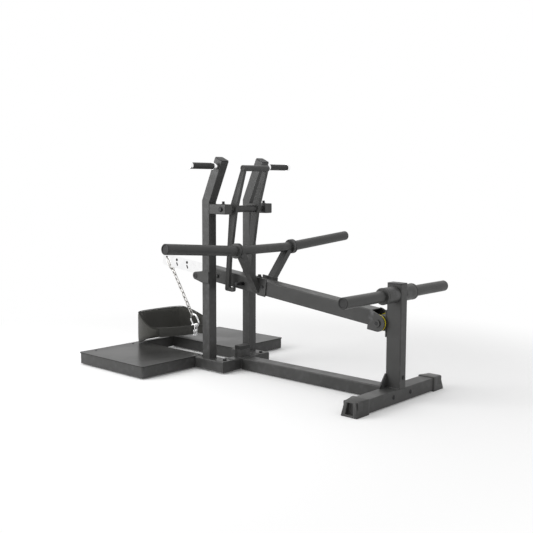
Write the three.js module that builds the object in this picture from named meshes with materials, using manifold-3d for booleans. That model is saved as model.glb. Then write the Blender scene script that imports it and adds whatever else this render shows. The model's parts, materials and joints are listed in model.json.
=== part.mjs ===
import * as THREE from 'three';
import { mergeVertices } from 'three/addons/utils/BufferGeometryUtils.js';
import Module from 'manifold-3d';

// A plate-loaded belt squat machine, in millimetres: +Z up, +X to the rear, origin on the floor.
// A lever arm turns on a rear post, carries the weight sleeves, and lifts a hip belt by a chain at its front.

const wasm = await Module();
wasm.setup();

// Shared fits
const gap = 0.3;
const overrun = 40;
const degree = Math.PI / 180;

// Round resolutions
const fineSteps = 32;
const roundSteps = 24;
const smallSteps = 12;
const hexSides = 6;
const wireSides = 6;
const cornerSteps = 2;
const bendSteps = 3;

// Base frame
const baseTop = 64.5;
const beamHeight = 60;
const tubeCorner = 5;
const tubeWall = 3;
const crossbeamDepth = 75;
const crossbeamLength = 662;
const postDistance = 1054;
const centreBeamWidth = 72;
const skidWidth = 76;
const skidHeight = 56;
const skidRear = 96.5;
const skidFront = 59.5;
const crossTubeDepth = 60;

// Rear feet
const footReach = 14;
const footLength = 89;
const footSole = 84;
const footTop = 66;
const footHood = 4;
const footGrooveWidth = 20;
const footGrooveTop = 8;
const footGrooveDepth = 9;

// Rear post
const postWidth = 48.6;
const postAboveBar = 45.5;
const capThickness = 4;
const gussetThickness = 6;
const gussetReach = 50;
const gussetRise = 60;

// Storage bar
const storageHeight = 479;
const storageRadius = 25;
const storageReach = 392;
const storageCollarFrom = 108;
const collarRadius = 37;
const collarThickness = 11;
const capRecess = 3;
const capRim = 6;
const capPlug = 20;

// Uprights
const uprightSize = 50;
const uprightOuter = 172.4;
const uprightWall = 3;
const bendHeight = 870;
const headLean = 24.1;
const headLength = 233;

// Grips
const gripDrop = 33;
const gripBack = 6;
const gripCore = 12;
const gripRing = 17;
const gripSleeve = 15.5;
const gripStart = 15.6;
const gripRingWidth = 17;
const gripLength = 140;
const gripEndWidth = 18;

// Lock lever
const bracketDrop = 6.33;
const bracketPastPivot = 27.7;
const bracketHeight = 50;
const lockPivotBack = 84;
const lockShaftRadius = 8;
const lockBossRadius = 13.6;
const lockSleeveRadius = 17.5;
const leverThickness = 18;
const leverSetIn = 33.4;
const leverOpen = 4.4;
const leverHandleRadius = 15;
const leverHandleBack = 55.5;
const leverHandleRise = 207.5;
const leverHandlePast = 3;
const leverPivotWidth = 40;
const leverEndWidth = 23;
const leverBulge = 5;
const leverHeel = 3;
const leverNarrowShare = 0.62;
const leverShankShift = 12;
const leverShankWidth = 24;
const hookThickness = 18;
const hookAhead = 22.11;
const hookClearance = 12.46;
const hookReach = 35;
const hookLip = 7;
const hookLipWidth = 9;
const hookFillet = 9;
const stopBoltRadius = 7;
const stopBaseRadius = 11.2;
const stopBoltRise = 14;

// Ear plate on the right upright
const earThickness = 6;
const earHeight = 487;
const earReach = 45;
const earRadius = 20;
const earHole = 8;
const earAbove = 26;
const earBelow = 32;

// Platform
const platformLength = 524;
const platformHalf = 519;
const platformTop = 66.2;
const platformUnderside = 7;
const platformSkin = 5;
const platformLip = 3;
const platformWall = 4;
const slotHalf = 114.6;
const bridgeDepth = 29;
const platformCorner = 12;
const levelFootRadius = 16;
const levelFootInset = 46;

// Bumper
const bumperDepth = 46;
const bumperWidth = 72;
const bumperTop = 124;
const bumperRubber = 18;

// Lever arm
const pivotHeight = 346;
const pivotAhead = 35.5;
const armPitch = 6.39;
const armWidth = 76;
const armHeight = 72;
const armBelow = 20;
const armWall = 4;
const armRearGap = 41;
const armOverhang = 259.5;
const cheekThickness = 7;
const cheekRadius = 38;
const cheekLead = 49;
const cheekFlat = 10;
const housingRadius = 34;
const housingHalf = 30;
const pivotRadius = 15;
const pivotHeadRadius = 17.2;
const pivotHead = 6;
const pivotPlate = 6;
const pivotPlateHeight = 120;
const catchPinRadius = 10;
const catchPinRise = 13;
const catchPinPast = 3;
const armStudBehind = 74.5;
const armStudRadius = 12.5;
const armStudTopRadius = 8.75;
const armStudRise = 18;

// Weight carrier on the arm
const crossbarBehind = 95.9;
const crossbarRise = 206.4;
const crossbarRadius = 22.5;
const sleeveFrom = 205;
const sleeveLength = 452;
const sleeveRadius = 25;
const sleeveWall = 3;
const sleeveRise = 4.4;
const strutInset = 22;
const strutWidth = 40;
const strutDepth = 30;
const strutDrop = 196;
const saddleThickness = 6;
const saddleBehind = 64.6;
const saddleLength = 100;
const saddleBelow = 24;
const saddleAbove = 13;

// Belt bar
const barThickness = 12;
const barHeight = 64;
const barReach = 398;
const barInside = 110;
const socketInside = 99;
const barStations = 3;
const barPitch = 83.5;
const barFirstInset = 30.5;
const barHoleDrop = 17;
const barHoleRadius = 8;
const barSlotDrop = 40;
const barSlotWidth = 9;
const barSlotLength = 22;
const barSlotLean = 32;
const barBoltInset = 73;
const barTipCorner = 14;
const barSteps = 9;

// Fasteners
const boltHeadRadius = 11;
const boltHead = 7;
const boltShank = 6;
const washerRadius = 14;
const washerThickness = 2;

// Chain and its hooks
const chainLean = 29;
const chainDrift = -4;
const wireRadius = 3;
const linkWidth = 21;
const linkCount = 9;
const linkSink = 0.5;
const carabinerWire = 4;
const carabinerLength = 80;
const carabinerWidth = 40;
const carabinerNutRadius = 5.4;
const swivelWire = 3.5;
const swivelLength = 52;
const swivelWidth = 24;
const ringWire = 4.5;
const ringLength = 80;
const ringWidth = 60;

// Belt: its route in plan from the near ring to the far one, as shares of its depth and breadth
const beltDepth = 323;
const beltBreadth = 417;
const beltRouteShares = [
  [-0.436, -0.503],
  [-0.902, -0.408],
  [-0.972, -0.041],
  [-0.898, 0.310],
  [-0.563, 0.497],
  [-0.162, 0.386],
  [0.088, 0.089],
];
const beltThickness = 12;
const strapThickness = 8;
const beltHeight = 172;
const strapHeight = 50;
const strapEndHeight = 27;
const beltRound = 4;
const beltLift = 4;
const beltSteps = 60;
const padStartShares = [0.17, 0.33];
const padEndShares = [0.6, 0.76];
const strapEndShare = 0.03;
const strapLoop = 7;
const seamShare = 0.0003;
const endRingLength = 56;
const endRingWidth = 34;
const endRingWire = 3.5;
const endRingCorner = 6;
const nearHang = -55;
const farHang = 8;
const nearEndTurn = 50;
const farEndTurn = -101;

// Colours
const graphite = { color: 0x55575a, roughness: 0.5, metalness: 0.35 };
const deck = { color: 0x4b4c4f, roughness: 0.28, metalness: 0.2 };
const chrome = { color: 0xe6e8ea, roughness: 0.16, metalness: 1 };
const blackRubber = { color: 0x2b2b2c, roughness: 0.8, metalness: 0 };
const blackPlastic = { color: 0x232425, roughness: 0.55, metalness: 0 };
const zinc = { color: 0x3a3b3d, roughness: 0.4, metalness: 0.8 };
const accent = { color: 0xdfe04a, roughness: 0.45, metalness: 0 };
const beltCloth = { color: 0x35362f, roughness: 0.85, metalness: 0 };

// Places that several pieces share
const footOuter = crossbeamLength / 2 + footReach;
const footInner = footOuter - footLength;
const postTop = storageHeight + postAboveBar;
const uprightInner = uprightOuter - uprightSize;
const uprightMiddle = uprightOuter - uprightSize / 2;
const gripRingFrom = uprightOuter + gripStart;
const gripRingTo = gripRingFrom + gripRingWidth;
const gripCapFrom = gripRingTo + gripLength;
const gripCapTo = gripCapFrom + gripEndWidth;
const skidInner = uprightOuter - skidWidth;
const skidEnd = uprightSize + skidRear;
const crossbeamFront = postDistance - crossbeamDepth / 2;
const crossbeamRear = postDistance + crossbeamDepth / 2;
const beamBottom = baseTop - beamHeight;
const platformRear = -skidFront;
const platformFront = platformRear - platformLength;
const pivotX = crossbeamFront - pivotAhead;
const leverOuter = uprightInner - leverSetIn;
const leverInner = leverOuter - leverThickness;
const leverHandleReach = leverOuter + leverHandlePast;
const lockPivotX = uprightSize + lockPivotBack;
const rearBend = bendHeight - uprightSize * Math.tan(headLean * degree / 2);
const lockPivotHeight = rearBend - bracketDrop - bracketHeight / 2;
const armTopZ = armHeight - armBelow;
const armMiddleZ = armHeight / 2 - armBelow;
const armSlope = [Math.cos(armPitch * degree), Math.sin(armPitch * degree)];
const catchPinBack = (pivotX - lockPivotX - hookAhead + catchPinRise * armSlope[1]) / armSlope[0];
const catchPinReach = leverOuter + catchPinPast;
const catchPinHeight = pivotHeight + catchPinBack * armSlope[1] + catchPinRise * armSlope[0];
const hookDrop = lockPivotHeight - catchPinHeight + catchPinRadius + hookClearance + hookThickness;
const armStudBack = catchPinBack - armStudBehind;
const crossbarBack = catchPinBack - crossbarBehind;
const saddleRear = crossbarBack - saddleBehind;
const sleeveTo = sleeveFrom + sleeveLength;
const strutTop = sleeveFrom - strutInset;
const armFrontX = -catchPinBack - armOverhang;
const barTip = barReach - armFrontX;
const barFirst = barTip - barFirstInset;
const barBoltBack = -armFrontX - barBoltInset;
const beltMiddle = platformTop + beltLift + beltHeight / 2;
const halfArm = armWidth / 2;

// The machine and its turned groups
const machine = new THREE.Group();
const armFrame = new THREE.Group();
armFrame.position.set(pivotX, 0, pivotHeight);
armFrame.rotation.y = armPitch * degree;
const leverFrame = new THREE.Group();
leverFrame.position.set(lockPivotX, 0, lockPivotHeight);
leverFrame.rotation.y = leverOpen * degree;
machine.add(armFrame, leverFrame);

// Adds one named piece to a group
function add(parent, name, geometry, look) {
  const mesh = new THREE.Mesh(geometry, new THREE.MeshStandardMaterial(look));
  mesh.name = name;
  parent.add(mesh);
  return mesh;
}

// A geometry with shared corners merged and empty triangles left out
function closed(geometry) {
  const bare = geometry.clone();
  bare.deleteAttribute('normal');
  bare.deleteAttribute('uv');
  const merged = mergeVertices(bare.index ? bare.toNonIndexed() : bare);
  const corners = merged.index.array;
  const kept = [];
  for (let i = 0; i < corners.length; i += 3) {
    const [a, b, c] = [corners[i], corners[i + 1], corners[i + 2]];
    if (a !== b && b !== c && c !== a) kept.push(a, b, c);
  }
  merged.setIndex(kept);
  return merged;
}

// A closed geometry as a solid for cutting and joining
function solid(geometry) {
  const merged = closed(geometry);
  return new wasm.Manifold(new wasm.Mesh({
    numProp: 3,
    vertProperties: new Float32Array(merged.attributes.position.array),
    triVerts: new Uint32Array(merged.index.array),
  }));
}

// A solid back as a geometry
function surface(body) {
  const mesh = body.getMesh();
  const geometry = new THREE.BufferGeometry();
  geometry.setAttribute('position', new THREE.BufferAttribute(new Float32Array(mesh.vertProperties), 3));
  geometry.setIndex(new THREE.BufferAttribute(new Uint32Array(mesh.triVerts), 1));
  geometry.computeVertexNormals();
  return geometry;
}

// Joins the first geometries and takes the others away
function shape(parts, cuts = []) {
  let body = parts.map(solid).reduce((a, b) => a.add(b));
  for (const cut of cuts) {
    body = body.subtract(solid(cut));
  }
  return surface(body);
}

// What two geometries share
function common(first, second) {
  return surface(solid(first).intersect(solid(second)));
}

// The other side's copy of a geometry, with its faces turned out again
function mirrored(geometry) {
  const copy = geometry.index ? geometry.toNonIndexed() : geometry.clone();
  const points = copy.attributes.position;
  for (let i = 0; i < points.count; i += 3) {
    for (let j = 0; j < 3; j += 1) {
      points.setY(i + j, -points.getY(i + j));
    }
    const [x, y, z] = [points.getX(i + 1), points.getY(i + 1), points.getZ(i + 1)];
    points.setXYZ(i + 1, points.getX(i + 2), points.getY(i + 2), points.getZ(i + 2));
    points.setXYZ(i + 2, x, y, z);
  }
  copy.computeVertexNormals();
  return copy;
}

// A node on each side, made for the right side (-Y) and mirrored to the left
function addPair(parent, name, geometry, look) {
  add(parent, `${name}_right`, geometry, look);
  add(parent, `${name}_left`, mirrored(geometry), look);
}

// A box between two corners
function block(x0, x1, y0, y1, z0, z1) {
  const box = new THREE.BoxGeometry(x1 - x0, y1 - y0, z1 - z0);
  return box.translate((x0 + x1) / 2, (y0 + y1) / 2, (z0 + z1) / 2);
}

// Turns a shape drawn in a plane to stand on the axis it is extruded along
const planeTurns = {
  x: new THREE.Matrix4().makeBasis(
    new THREE.Vector3(0, 1, 0), new THREE.Vector3(0, 0, 1), new THREE.Vector3(1, 0, 0)),
  y: new THREE.Matrix4().makeBasis(
    new THREE.Vector3(1, 0, 0), new THREE.Vector3(0, 0, 1), new THREE.Vector3(0, -1, 0)),
  z: new THREE.Matrix4(),
};

// An outline extruded along an axis from one place to another: (y, z) for x, (x, z) for y, (x, y) for z
function extruded(axis, outline, from, to, steps = cornerSteps) {
  const body = new THREE.ExtrudeGeometry(outline, {
    depth: to - from,
    bevelEnabled: false,
    curveSegments: steps,
  });
  body.applyMatrix4(planeTurns[axis]);
  const start = { x: [from, 0, 0], y: [0, to, 0], z: [0, 0, from] }[axis];
  return body.translate(...start);
}

// An outline through points, as a shape
function outlineOf(points) {
  return new THREE.Shape(points.map(([a, b]) => new THREE.Vector2(a, b)));
}

// A rectangle with round corners, between its edges
function roundRect(a0, a1, b0, b1, radius, Kind = THREE.Shape) {
  const path = new Kind();
  path.moveTo(a0 + radius, b0);
  path.lineTo(a1 - radius, b0);
  path.absarc(a1 - radius, b0 + radius, radius, -Math.PI / 2, 0, false);
  path.lineTo(a1, b1 - radius);
  path.absarc(a1 - radius, b1 - radius, radius, 0, Math.PI / 2, false);
  path.lineTo(a0 + radius, b1);
  path.absarc(a0 + radius, b1 - radius, radius, Math.PI / 2, Math.PI, false);
  path.lineTo(a0, b0 + radius);
  path.absarc(a0 + radius, b0 + radius, radius, Math.PI, 1.5 * Math.PI, false);
  return path;
}

// A box tube: round outer corners and the wall taken off inside
function boxTube(axis, a0, a1, b0, b1, from, to, wall) {
  const outline = roundRect(a0, a1, b0, b1, tubeCorner);
  outline.holes.push(roundRect(a0 + wall, a1 - wall, b0 + wall, b1 - wall, tubeCorner - wall, THREE.Path));
  return extruded(axis, outline, from, to);
}

// A cylinder along an axis through a point
function rod(axis, radius, from, to, at, steps = roundSteps) {
  const body = new THREE.CylinderGeometry(radius, radius, to - from, steps);
  if (axis === 'x') body.rotateZ(-Math.PI / 2);
  if (axis === 'z') body.rotateX(Math.PI / 2);
  const middle = (from + to) / 2;
  const place = { x: [middle, ...at], y: [at[0], middle, at[1]], z: [...at, middle] }[axis];
  return body.translate(...place);
}

// A body turned about the Y axis through the origin, from pairs of radius and distance along Y
function turned(profile, steps = roundSteps) {
  const points = profile.map(([radius, along]) => new THREE.Vector2(radius, along));
  const outward = THREE.ShapeUtils.area(points) > 0;
  return closed(new THREE.LatheGeometry(outward ? points : points.reverse(), steps));
}

// A plain ring about the Y axis
function tubeRing(bore, radius, from, to, steps = roundSteps) {
  return turned([[bore, from], [radius, from], [radius, to], [bore, to], [bore, from]], steps);
}

// Shared bolt: washer and hexagon head along an axis, head pointing to the given side
function bolt(axis, face, side, at) {
  const washerEnd = face + side * washerThickness;
  const headEnd = washerEnd + side * boltHead;
  const [washerFrom, headFrom] = [Math.min(face, washerEnd), Math.min(washerEnd, headEnd)];
  const washer = rod(axis, washerRadius, washerFrom, washerFrom + washerThickness, at, smallSteps);
  const head = rod(axis, boltHeadRadius, headFrom, headFrom + boltHead, at, hexSides);
  return shape([washer, head]);
}

// Rear crossbeam
function rearCrossbeam() {
  const half = crossbeamLength / 2;
  return boxTube('y', crossbeamFront, crossbeamRear, beamBottom, baseTop, -half, half, tubeWall);
}

// Rubber foot over a crossbeam end: flared sole, hood over the tube, tapered groove in the end
function rearFoot() {
  const middle = postDistance;
  const side = outlineOf([
    [middle - footSole / 2, 0],
    [middle + footSole / 2, 0],
    [middle + footSole / 2, footHood],
    [middle + footTop / 2 + footHood * 2, baseTop],
    [middle + crossbeamDepth / 2 - footHood / 2, baseTop + footHood],
    [middle - crossbeamDepth / 2 + footHood / 2, baseTop + footHood],
    [middle - footTop / 2 - footHood * 2, baseTop],
    [middle - footSole / 2, footHood],
  ]);
  const body = extruded('y', side, -footOuter, -footInner);
  const end = outlineOf([
    [-footOuter, 0],
    [-footInner, 0],
    [-footInner, baseTop + footHood],
    [-footOuter + footHood * 3, baseTop + footHood],
    [-footOuter + footHood, baseTop - footHood],
  ]);
  const tapered = common(body, extruded('x', end, middle - footSole, middle + footSole));
  const socket = block(crossbeamFront - gap, crossbeamRear + gap,
    -crossbeamLength / 2 - gap, -footInner + overrun, beamBottom - gap, baseTop + gap);
  const groove = extruded('y', outlineOf([
    [middle - footGrooveWidth / 2, footHood],
    [middle + footGrooveWidth / 2, footHood],
    [middle + footGrooveTop / 2, baseTop],
    [middle - footGrooveTop / 2, baseTop],
  ]), -footOuter - overrun, -footOuter + footGrooveDepth);
  return shape([tapered], [socket, groove]);
}

// Rear post with the storage bar's hole
function rearPost() {
  const half = postWidth / 2;
  const tube = boxTube('z', crossbeamFront, crossbeamRear, -half, half, baseTop, postTop, tubeWall);
  const hole = rod('y', storageRadius + gap, -postWidth, postWidth, [postDistance, storageHeight]);
  const gusset = postGusset();
  return shape([tube, gusset, mirrored(gusset)], [hole]);
}

// Cap with a plug that enters the post's top
function postCap() {
  const half = postWidth / 2;
  const head = extruded('z', roundRect(crossbeamFront, crossbeamRear, -half, half, tubeCorner),
    postTop, postTop + capThickness);
  const inset = tubeWall + gap;
  const core = roundRect(crossbeamFront + inset, crossbeamRear - inset, -half + inset, half - inset,
    tubeCorner - tubeWall);
  const plug = extruded('z', core, postTop - capThickness * 2, postTop + capThickness / 2);
  return shape([head, plug]);
}

// Triangular gusset beside the post's foot
function postGusset() {
  const root = -postWidth / 2;
  const plate = outlineOf([
    [root, baseTop],
    [root, baseTop + gussetRise],
    [root - gussetThickness, baseTop + gussetRise],
    [root - gussetReach, baseTop + gussetThickness],
    [root - gussetReach, baseTop],
  ]);
  return extruded('x', plate, crossbeamFront, crossbeamFront + gussetThickness);
}

// Storage bar through the post, its collars and end caps
function storageBar() {
  const outer = rod('y', storageRadius, -storageReach, storageReach, [postDistance, storageHeight]);
  const bore = rod('y', storageRadius - sleeveWall, -storageReach - overrun, storageReach + overrun,
    [postDistance, storageHeight]);
  const collar = collarRing(storageRadius - sleeveWall / 2,
    -storageCollarFrom - collarThickness, -storageCollarFrom, [postDistance, storageHeight]);
  return shape([outer, collar, mirrored(collar)], [bore]);
}

// Ring of a given section around a bar along Y
function collarRing(bore, from, to, at, steps = fineSteps) {
  const edge = collarThickness / 5;
  const ring = turned([
    [bore, from],
    [collarRadius - edge, from],
    [collarRadius, from + edge],
    [collarRadius, to - edge],
    [collarRadius - edge, to],
    [bore, to],
    [bore, from],
  ], steps);
  return ring.translate(at[0], 0, at[1]);
}

// Plastic plug in a round tube's end: a lip outside, a dished face
function roundCap(tubeRadius, wall, end) {
  const bore = tubeRadius - wall - gap;
  const lip = capThickness;
  return turned([
    [0, end + capPlug],
    [bore, end + capPlug],
    [bore, end - gap],
    [tubeRadius, end - gap],
    [tubeRadius, end - lip / 2],
    [tubeRadius - lip / 2, end - lip],
    [tubeRadius - capRim, end - lip],
    [tubeRadius - capRim, end - lip + capRecess],
    [0, end - lip + capRecess],
  ]);
}

// Centre beam, skids and cross tube
function centreBeam() {
  const half = centreBeamWidth / 2;
  return boxTube('x', -half, half, beamBottom, baseTop, skidEnd, crossbeamFront, tubeWall);
}

function skid() {
  const bottom = baseTop - skidHeight;
  const tube = boxTube('x', -uprightOuter, -skidInner, bottom, baseTop, platformRear, skidEnd, tubeWall);
  const inset = tubeWall / 2;
  const end = roundRect(-uprightOuter + inset, -skidInner - inset,
    bottom + inset, baseTop - inset, tubeCorner - inset);
  return shape([tube, extruded('x', end, skidEnd - tubeWall, skidEnd)]);
}

function crossTube() {
  return boxTube('y', skidEnd - crossTubeDepth, skidEnd, baseTop - skidHeight, baseTop,
    -skidInner, skidInner, tubeWall);
}

// Side outline of an upright, its wall taken off by an inset
function uprightOutline(inset, bottom, extra) {
  const lean = headLean * degree;
  const front = inset;
  const rear = uprightSize - inset;
  const mitre = Math.tan(lean / 2);
  const along = [Math.sin(lean), Math.cos(lean)];
  const reach = headLength + extra;
  const bendFront = [front, bendHeight - front * mitre];
  const bendRear = [rear, bendHeight - rear * mitre];
  const frontReach = reach + front * mitre;
  const topFront = [bendFront[0] + along[0] * frontReach, bendFront[1] + along[1] * frontReach];
  const width = rear - front;
  const topRear = [topFront[0] + width * Math.cos(lean), topFront[1] - width * Math.sin(lean)];
  return outlineOf([[front, bottom], [rear, bottom], bendRear, topRear, topFront, bendFront]);
}

function upright() {
  const shell = extruded('y', uprightOutline(0, baseTop, 0), -uprightOuter, -uprightInner);
  const hollow = extruded('y', uprightOutline(uprightWall, baseTop - overrun, overrun),
    -uprightOuter + uprightWall, -uprightInner - uprightWall);
  return shape([shell], [hollow]);
}

// The head's own axes: a point at a distance down from its top middle and back from it
function headPoint(down, back) {
  const lean = headLean * degree;
  const middle = uprightSize / 2 + back;
  const rise = headLength - down;
  const x = Math.sin(lean) * rise + Math.cos(lean) * middle;
  const z = bendHeight + Math.cos(lean) * rise - Math.sin(lean) * middle;
  return [x, z];
}

function uprightCap() {
  const half = uprightSize / 2;
  const inset = half - uprightWall - gap;
  const head = extruded('z', roundRect(-half, half, -half, half, tubeCorner), gap, capThickness);
  const plug = extruded('z', roundRect(-inset, inset, -inset, inset, tubeWall),
    -capThickness * 3, capThickness / 2);
  const cap = shape([head, plug]);
  const [x, z] = headPoint(0, 0);
  return cap.rotateY(headLean * degree).translate(x, -uprightMiddle, z);
}

// Handgrip: a chrome bar with a ring and an end, and a sleeve between them
function gripBar() {
  const [x, z] = headPoint(gripDrop, gripBack);
  const edge = capThickness / 2;
  const bar = turned([
    [0, -gripCapTo],
    [gripRing - edge, -gripCapTo],
    [gripRing, -gripCapTo + edge],
    [gripRing, -gripCapFrom],
    [gripCore, -gripCapFrom],
    [gripCore, -gripRingTo],
    [gripRing, -gripRingTo],
    [gripRing, -gripRingFrom],
    [gripCore, -gripRingFrom],
    [gripCore, -uprightOuter - gap],
    [0, -uprightOuter - gap],
  ]);
  return bar.translate(x, 0, z);
}

function gripSleeveRing() {
  const [x, z] = headPoint(gripDrop, gripBack);
  const [from, to] = [-gripCapFrom + gap, -gripRingTo - gap];
  const bore = gripCore + gap;
  return tubeRing(bore, gripSleeve, from, to).translate(x, 0, z);
}

// Bracket tube for the lock lever's pivot
function lockBracket() {
  const rear = lockPivotX + bracketPastPivot;
  const [z0, z1] = [lockPivotHeight - bracketHeight / 2, lockPivotHeight + bracketHeight / 2];
  const tube = boxTube('x', -uprightOuter, -uprightInner, z0, z1, uprightSize, rear, uprightWall);
  const inset = uprightWall / 2;
  const end = roundRect(-uprightOuter + inset, -uprightInner - inset,
    z0 + inset, z1 - inset, tubeCorner - inset);
  const plate = extruded('x', end, rear - uprightWall, rear);
  const boss = rod('y', lockBossRadius, -uprightInner - uprightWall / 2, -leverOuter - gap,
    [lockPivotX, lockPivotHeight]);
  const hole = rod('y', lockShaftRadius + gap, -uprightOuter - overrun, 0,
    [lockPivotX, lockPivotHeight], smallSteps);
  return shape([tube, plate, boss], [hole]);
}

// Stop bolt with a black cap on the bracket
function stopBolt() {
  const z = lockPivotHeight + bracketHeight / 2;
  const x = lockPivotX - stopBoltRadius;
  const base = rod('z', stopBaseRadius, z, z + washerThickness, [x, -uprightMiddle], smallSteps);
  const knob = rod('z', stopBoltRadius, z, z + stopBoltRise, [x, -uprightMiddle], smallSteps);
  return shape([base, knob]);
}

// Shaft of the lock lever with a head at each side
function lockShaft() {
  const at = [lockPivotX, lockPivotHeight];
  const reach = uprightOuter + washerThickness;
  const parts = [rod('y', lockShaftRadius, -reach, reach, at, smallSteps)];
  for (const side of [-1, 1]) {
    parts.push(bolt('y', side * uprightOuter, side, at));
  }
  return shape(parts);
}

// Lock lever arm in its own frame: origin on the pivot, drawn as it stands when locked
function leverArm() {
  const upper = new THREE.Vector2(leverHandleBack, leverHandleRise).normalize();
  const across = new THREE.Vector2(upper.y, -upper.x);
  const half = leverPivotWidth / 2;
  const end = leverEndWidth / 2;
  const shankFront = -leverShankShift - leverShankWidth / 2;
  const shankRear = -leverShankShift + leverShankWidth / 2;
  const tip = [leverHandleBack, leverHandleRise];
  const shankTop = -hookDrop * leverNarrowShare;
  const hookTop = -hookDrop + hookThickness;
  const arm = new THREE.Shape();
  arm.moveTo(tip[0] - across.x * end, tip[1] - across.y * end);
  arm.lineTo(-half, half / 2);
  arm.lineTo(-half - leverHeel, -half);
  arm.lineTo(shankFront, shankTop);
  arm.lineTo(shankFront, -hookDrop + hookFillet);
  arm.absarc(shankFront + hookFillet, -hookDrop + hookFillet, hookFillet, Math.PI, 1.5 * Math.PI, false);
  arm.lineTo(hookReach - hookFillet, -hookDrop);
  arm.absarc(hookReach - hookFillet, -hookDrop + hookFillet, hookFillet, -Math.PI / 2, 0, false);
  arm.lineTo(hookReach, hookTop + hookLip);
  arm.lineTo(hookReach - hookLipWidth, hookTop + hookLip);
  arm.lineTo(hookReach - hookLipWidth - hookLip, hookTop);
  arm.lineTo(shankRear + hookFillet, hookTop);
  arm.absarc(shankRear + hookFillet, hookTop + hookFillet, hookFillet, -Math.PI / 2, -Math.PI, true);
  arm.lineTo(shankRear, shankTop);
  arm.lineTo(half, -half);
  arm.lineTo(half + leverBulge, half / 2);
  arm.lineTo(tip[0] + across.x * end, tip[1] + across.y * end);
  const plate = extruded('y', arm, -leverOuter, -leverInner, bendSteps * 2);
  const bore = rod('y', lockShaftRadius + gap, -leverOuter - overrun, 0, [0, 0], smallSteps);
  const seat = rod('y', leverHandleRadius + gap, -leverOuter - overrun, 0, tip, fineSteps);
  return shape([plate], [bore, seat]);
}

// The lever's arm without the slivers that the handle's seat leaves above it
function leverArmBelowHandle() {
  const bodies = solid(leverArm()).decompose();
  bodies.sort((a, b) => b.volume() - a.volume());
  return surface(bodies[0]);
}

function leverHandle() {
  const at = [leverHandleBack, leverHandleRise];
  return rod('y', leverHandleRadius, -leverHandleReach, leverHandleReach, at);
}

function leverSleeve() {
  const bore = lockShaftRadius + gap;
  const reach = leverInner - gap;
  return tubeRing(bore, lockSleeveRadius, -reach, reach);
}

// Ear plate over the right upright's outer face, with an eye ahead of it
function earPlate() {
  const eye = [-earReach, earHeight];
  const [earTop, earBottom] = [earHeight + earAbove, earHeight - earBelow];
  const plate = new THREE.Shape();
  plate.moveTo(uprightSize, earBottom);
  plate.lineTo(uprightSize, earTop);
  plate.lineTo(0, earTop);
  plate.lineTo(eye[0], eye[1] + earRadius);
  plate.absarc(eye[0], eye[1], earRadius, Math.PI / 2, 1.5 * Math.PI, false);
  plate.lineTo(0, earBottom);
  const hole = new THREE.Path();
  hole.absarc(eye[0], eye[1], earHole, 0, 2 * Math.PI, true);
  plate.holes.push(hole);
  return extruded('y', plate, -uprightOuter - earThickness, -uprightOuter, smallSteps);
}

// Platform outline in plan, grown or shrunk by an inset
function platformOutline(inset) {
  const front = platformFront + inset;
  const rear = platformRear - inset;
  const side = platformHalf - inset;
  const slot = slotHalf + inset;
  const bridge = platformFront + bridgeDepth - inset;
  const r = platformCorner;
  const path = new THREE.Shape();
  path.moveTo(front + r, -side);
  path.lineTo(rear - r, -side);
  path.absarc(rear - r, -side + r, r, -Math.PI / 2, 0, false);
  path.lineTo(rear, -slot);
  path.lineTo(bridge, -slot);
  path.lineTo(bridge, slot);
  path.lineTo(rear, slot);
  path.lineTo(rear, side - r);
  path.absarc(rear - r, side - r, r, 0, Math.PI / 2, false);
  path.lineTo(front + r, side);
  path.absarc(front + r, side - r, r, Math.PI / 2, Math.PI, false);
  path.lineTo(front, -side + r);
  path.absarc(front + r, -side + r, r, Math.PI, 1.5 * Math.PI, false);
  return path;
}

// Frame under the deck: a folded wall round the outline, open below
function platformFrame() {
  const top = platformTop - platformSkin;
  const outer = extruded('z', platformOutline(platformLip), platformUnderside, top);
  const cuts = [];
  const inset = platformLip + platformWall;
  for (const side of [-1, 1]) {
    const [a, b] = [side * (slotHalf + inset), side * (platformHalf - inset)].sort((p, q) => p - q);
    const corner = platformCorner - platformWall;
    const hollow = roundRect(platformFront + inset, platformRear - inset, a, b, corner);
    cuts.push(extruded('z', hollow, platformUnderside - overrun, top - platformWall));
  }
  return shape([shape([outer], cuts), ...platformFeet()]);
}

function platformDeck() {
  return extruded('z', platformOutline(0), platformTop - platformSkin, platformTop);
}

// Levelling feet, four under each half
function platformFeet() {
  const feet = [];
  const inset = levelFootInset;
  const pad = platformUnderside / 2;
  for (const x of [platformFront + inset, platformRear - inset]) {
    for (const y of [platformHalf - inset, slotHalf + inset]) {
      for (const side of [-1, 1]) {
        const foot = rod('z', levelFootRadius, 0, pad, [x, side * y], smallSteps);
        const stem = rod('z', levelFootRadius / 2, pad / 2, platformTop - platformSkin - platformWall / 2,
          [x, side * y], smallSteps);
        feet.push(foot, stem);
      }
    }
  }
  return feet;
}

// Bumper post and the rubber on it
function bumperPost() {
  const rear = skidEnd - (crossTubeDepth - bumperDepth) / 2;
  const half = bumperWidth / 2;
  return boxTube('z', rear - bumperDepth, rear, -half, half, baseTop, bumperTop - bumperRubber, tubeWall);
}

function bumperPad() {
  const rear = skidEnd - (crossTubeDepth - bumperDepth) / 2;
  const half = bumperWidth / 2;
  const z = bumperTop - bumperRubber;
  return extruded('z', roundRect(rear - bumperDepth, rear, -half, half, tubeCorner), z, bumperTop);
}

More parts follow.
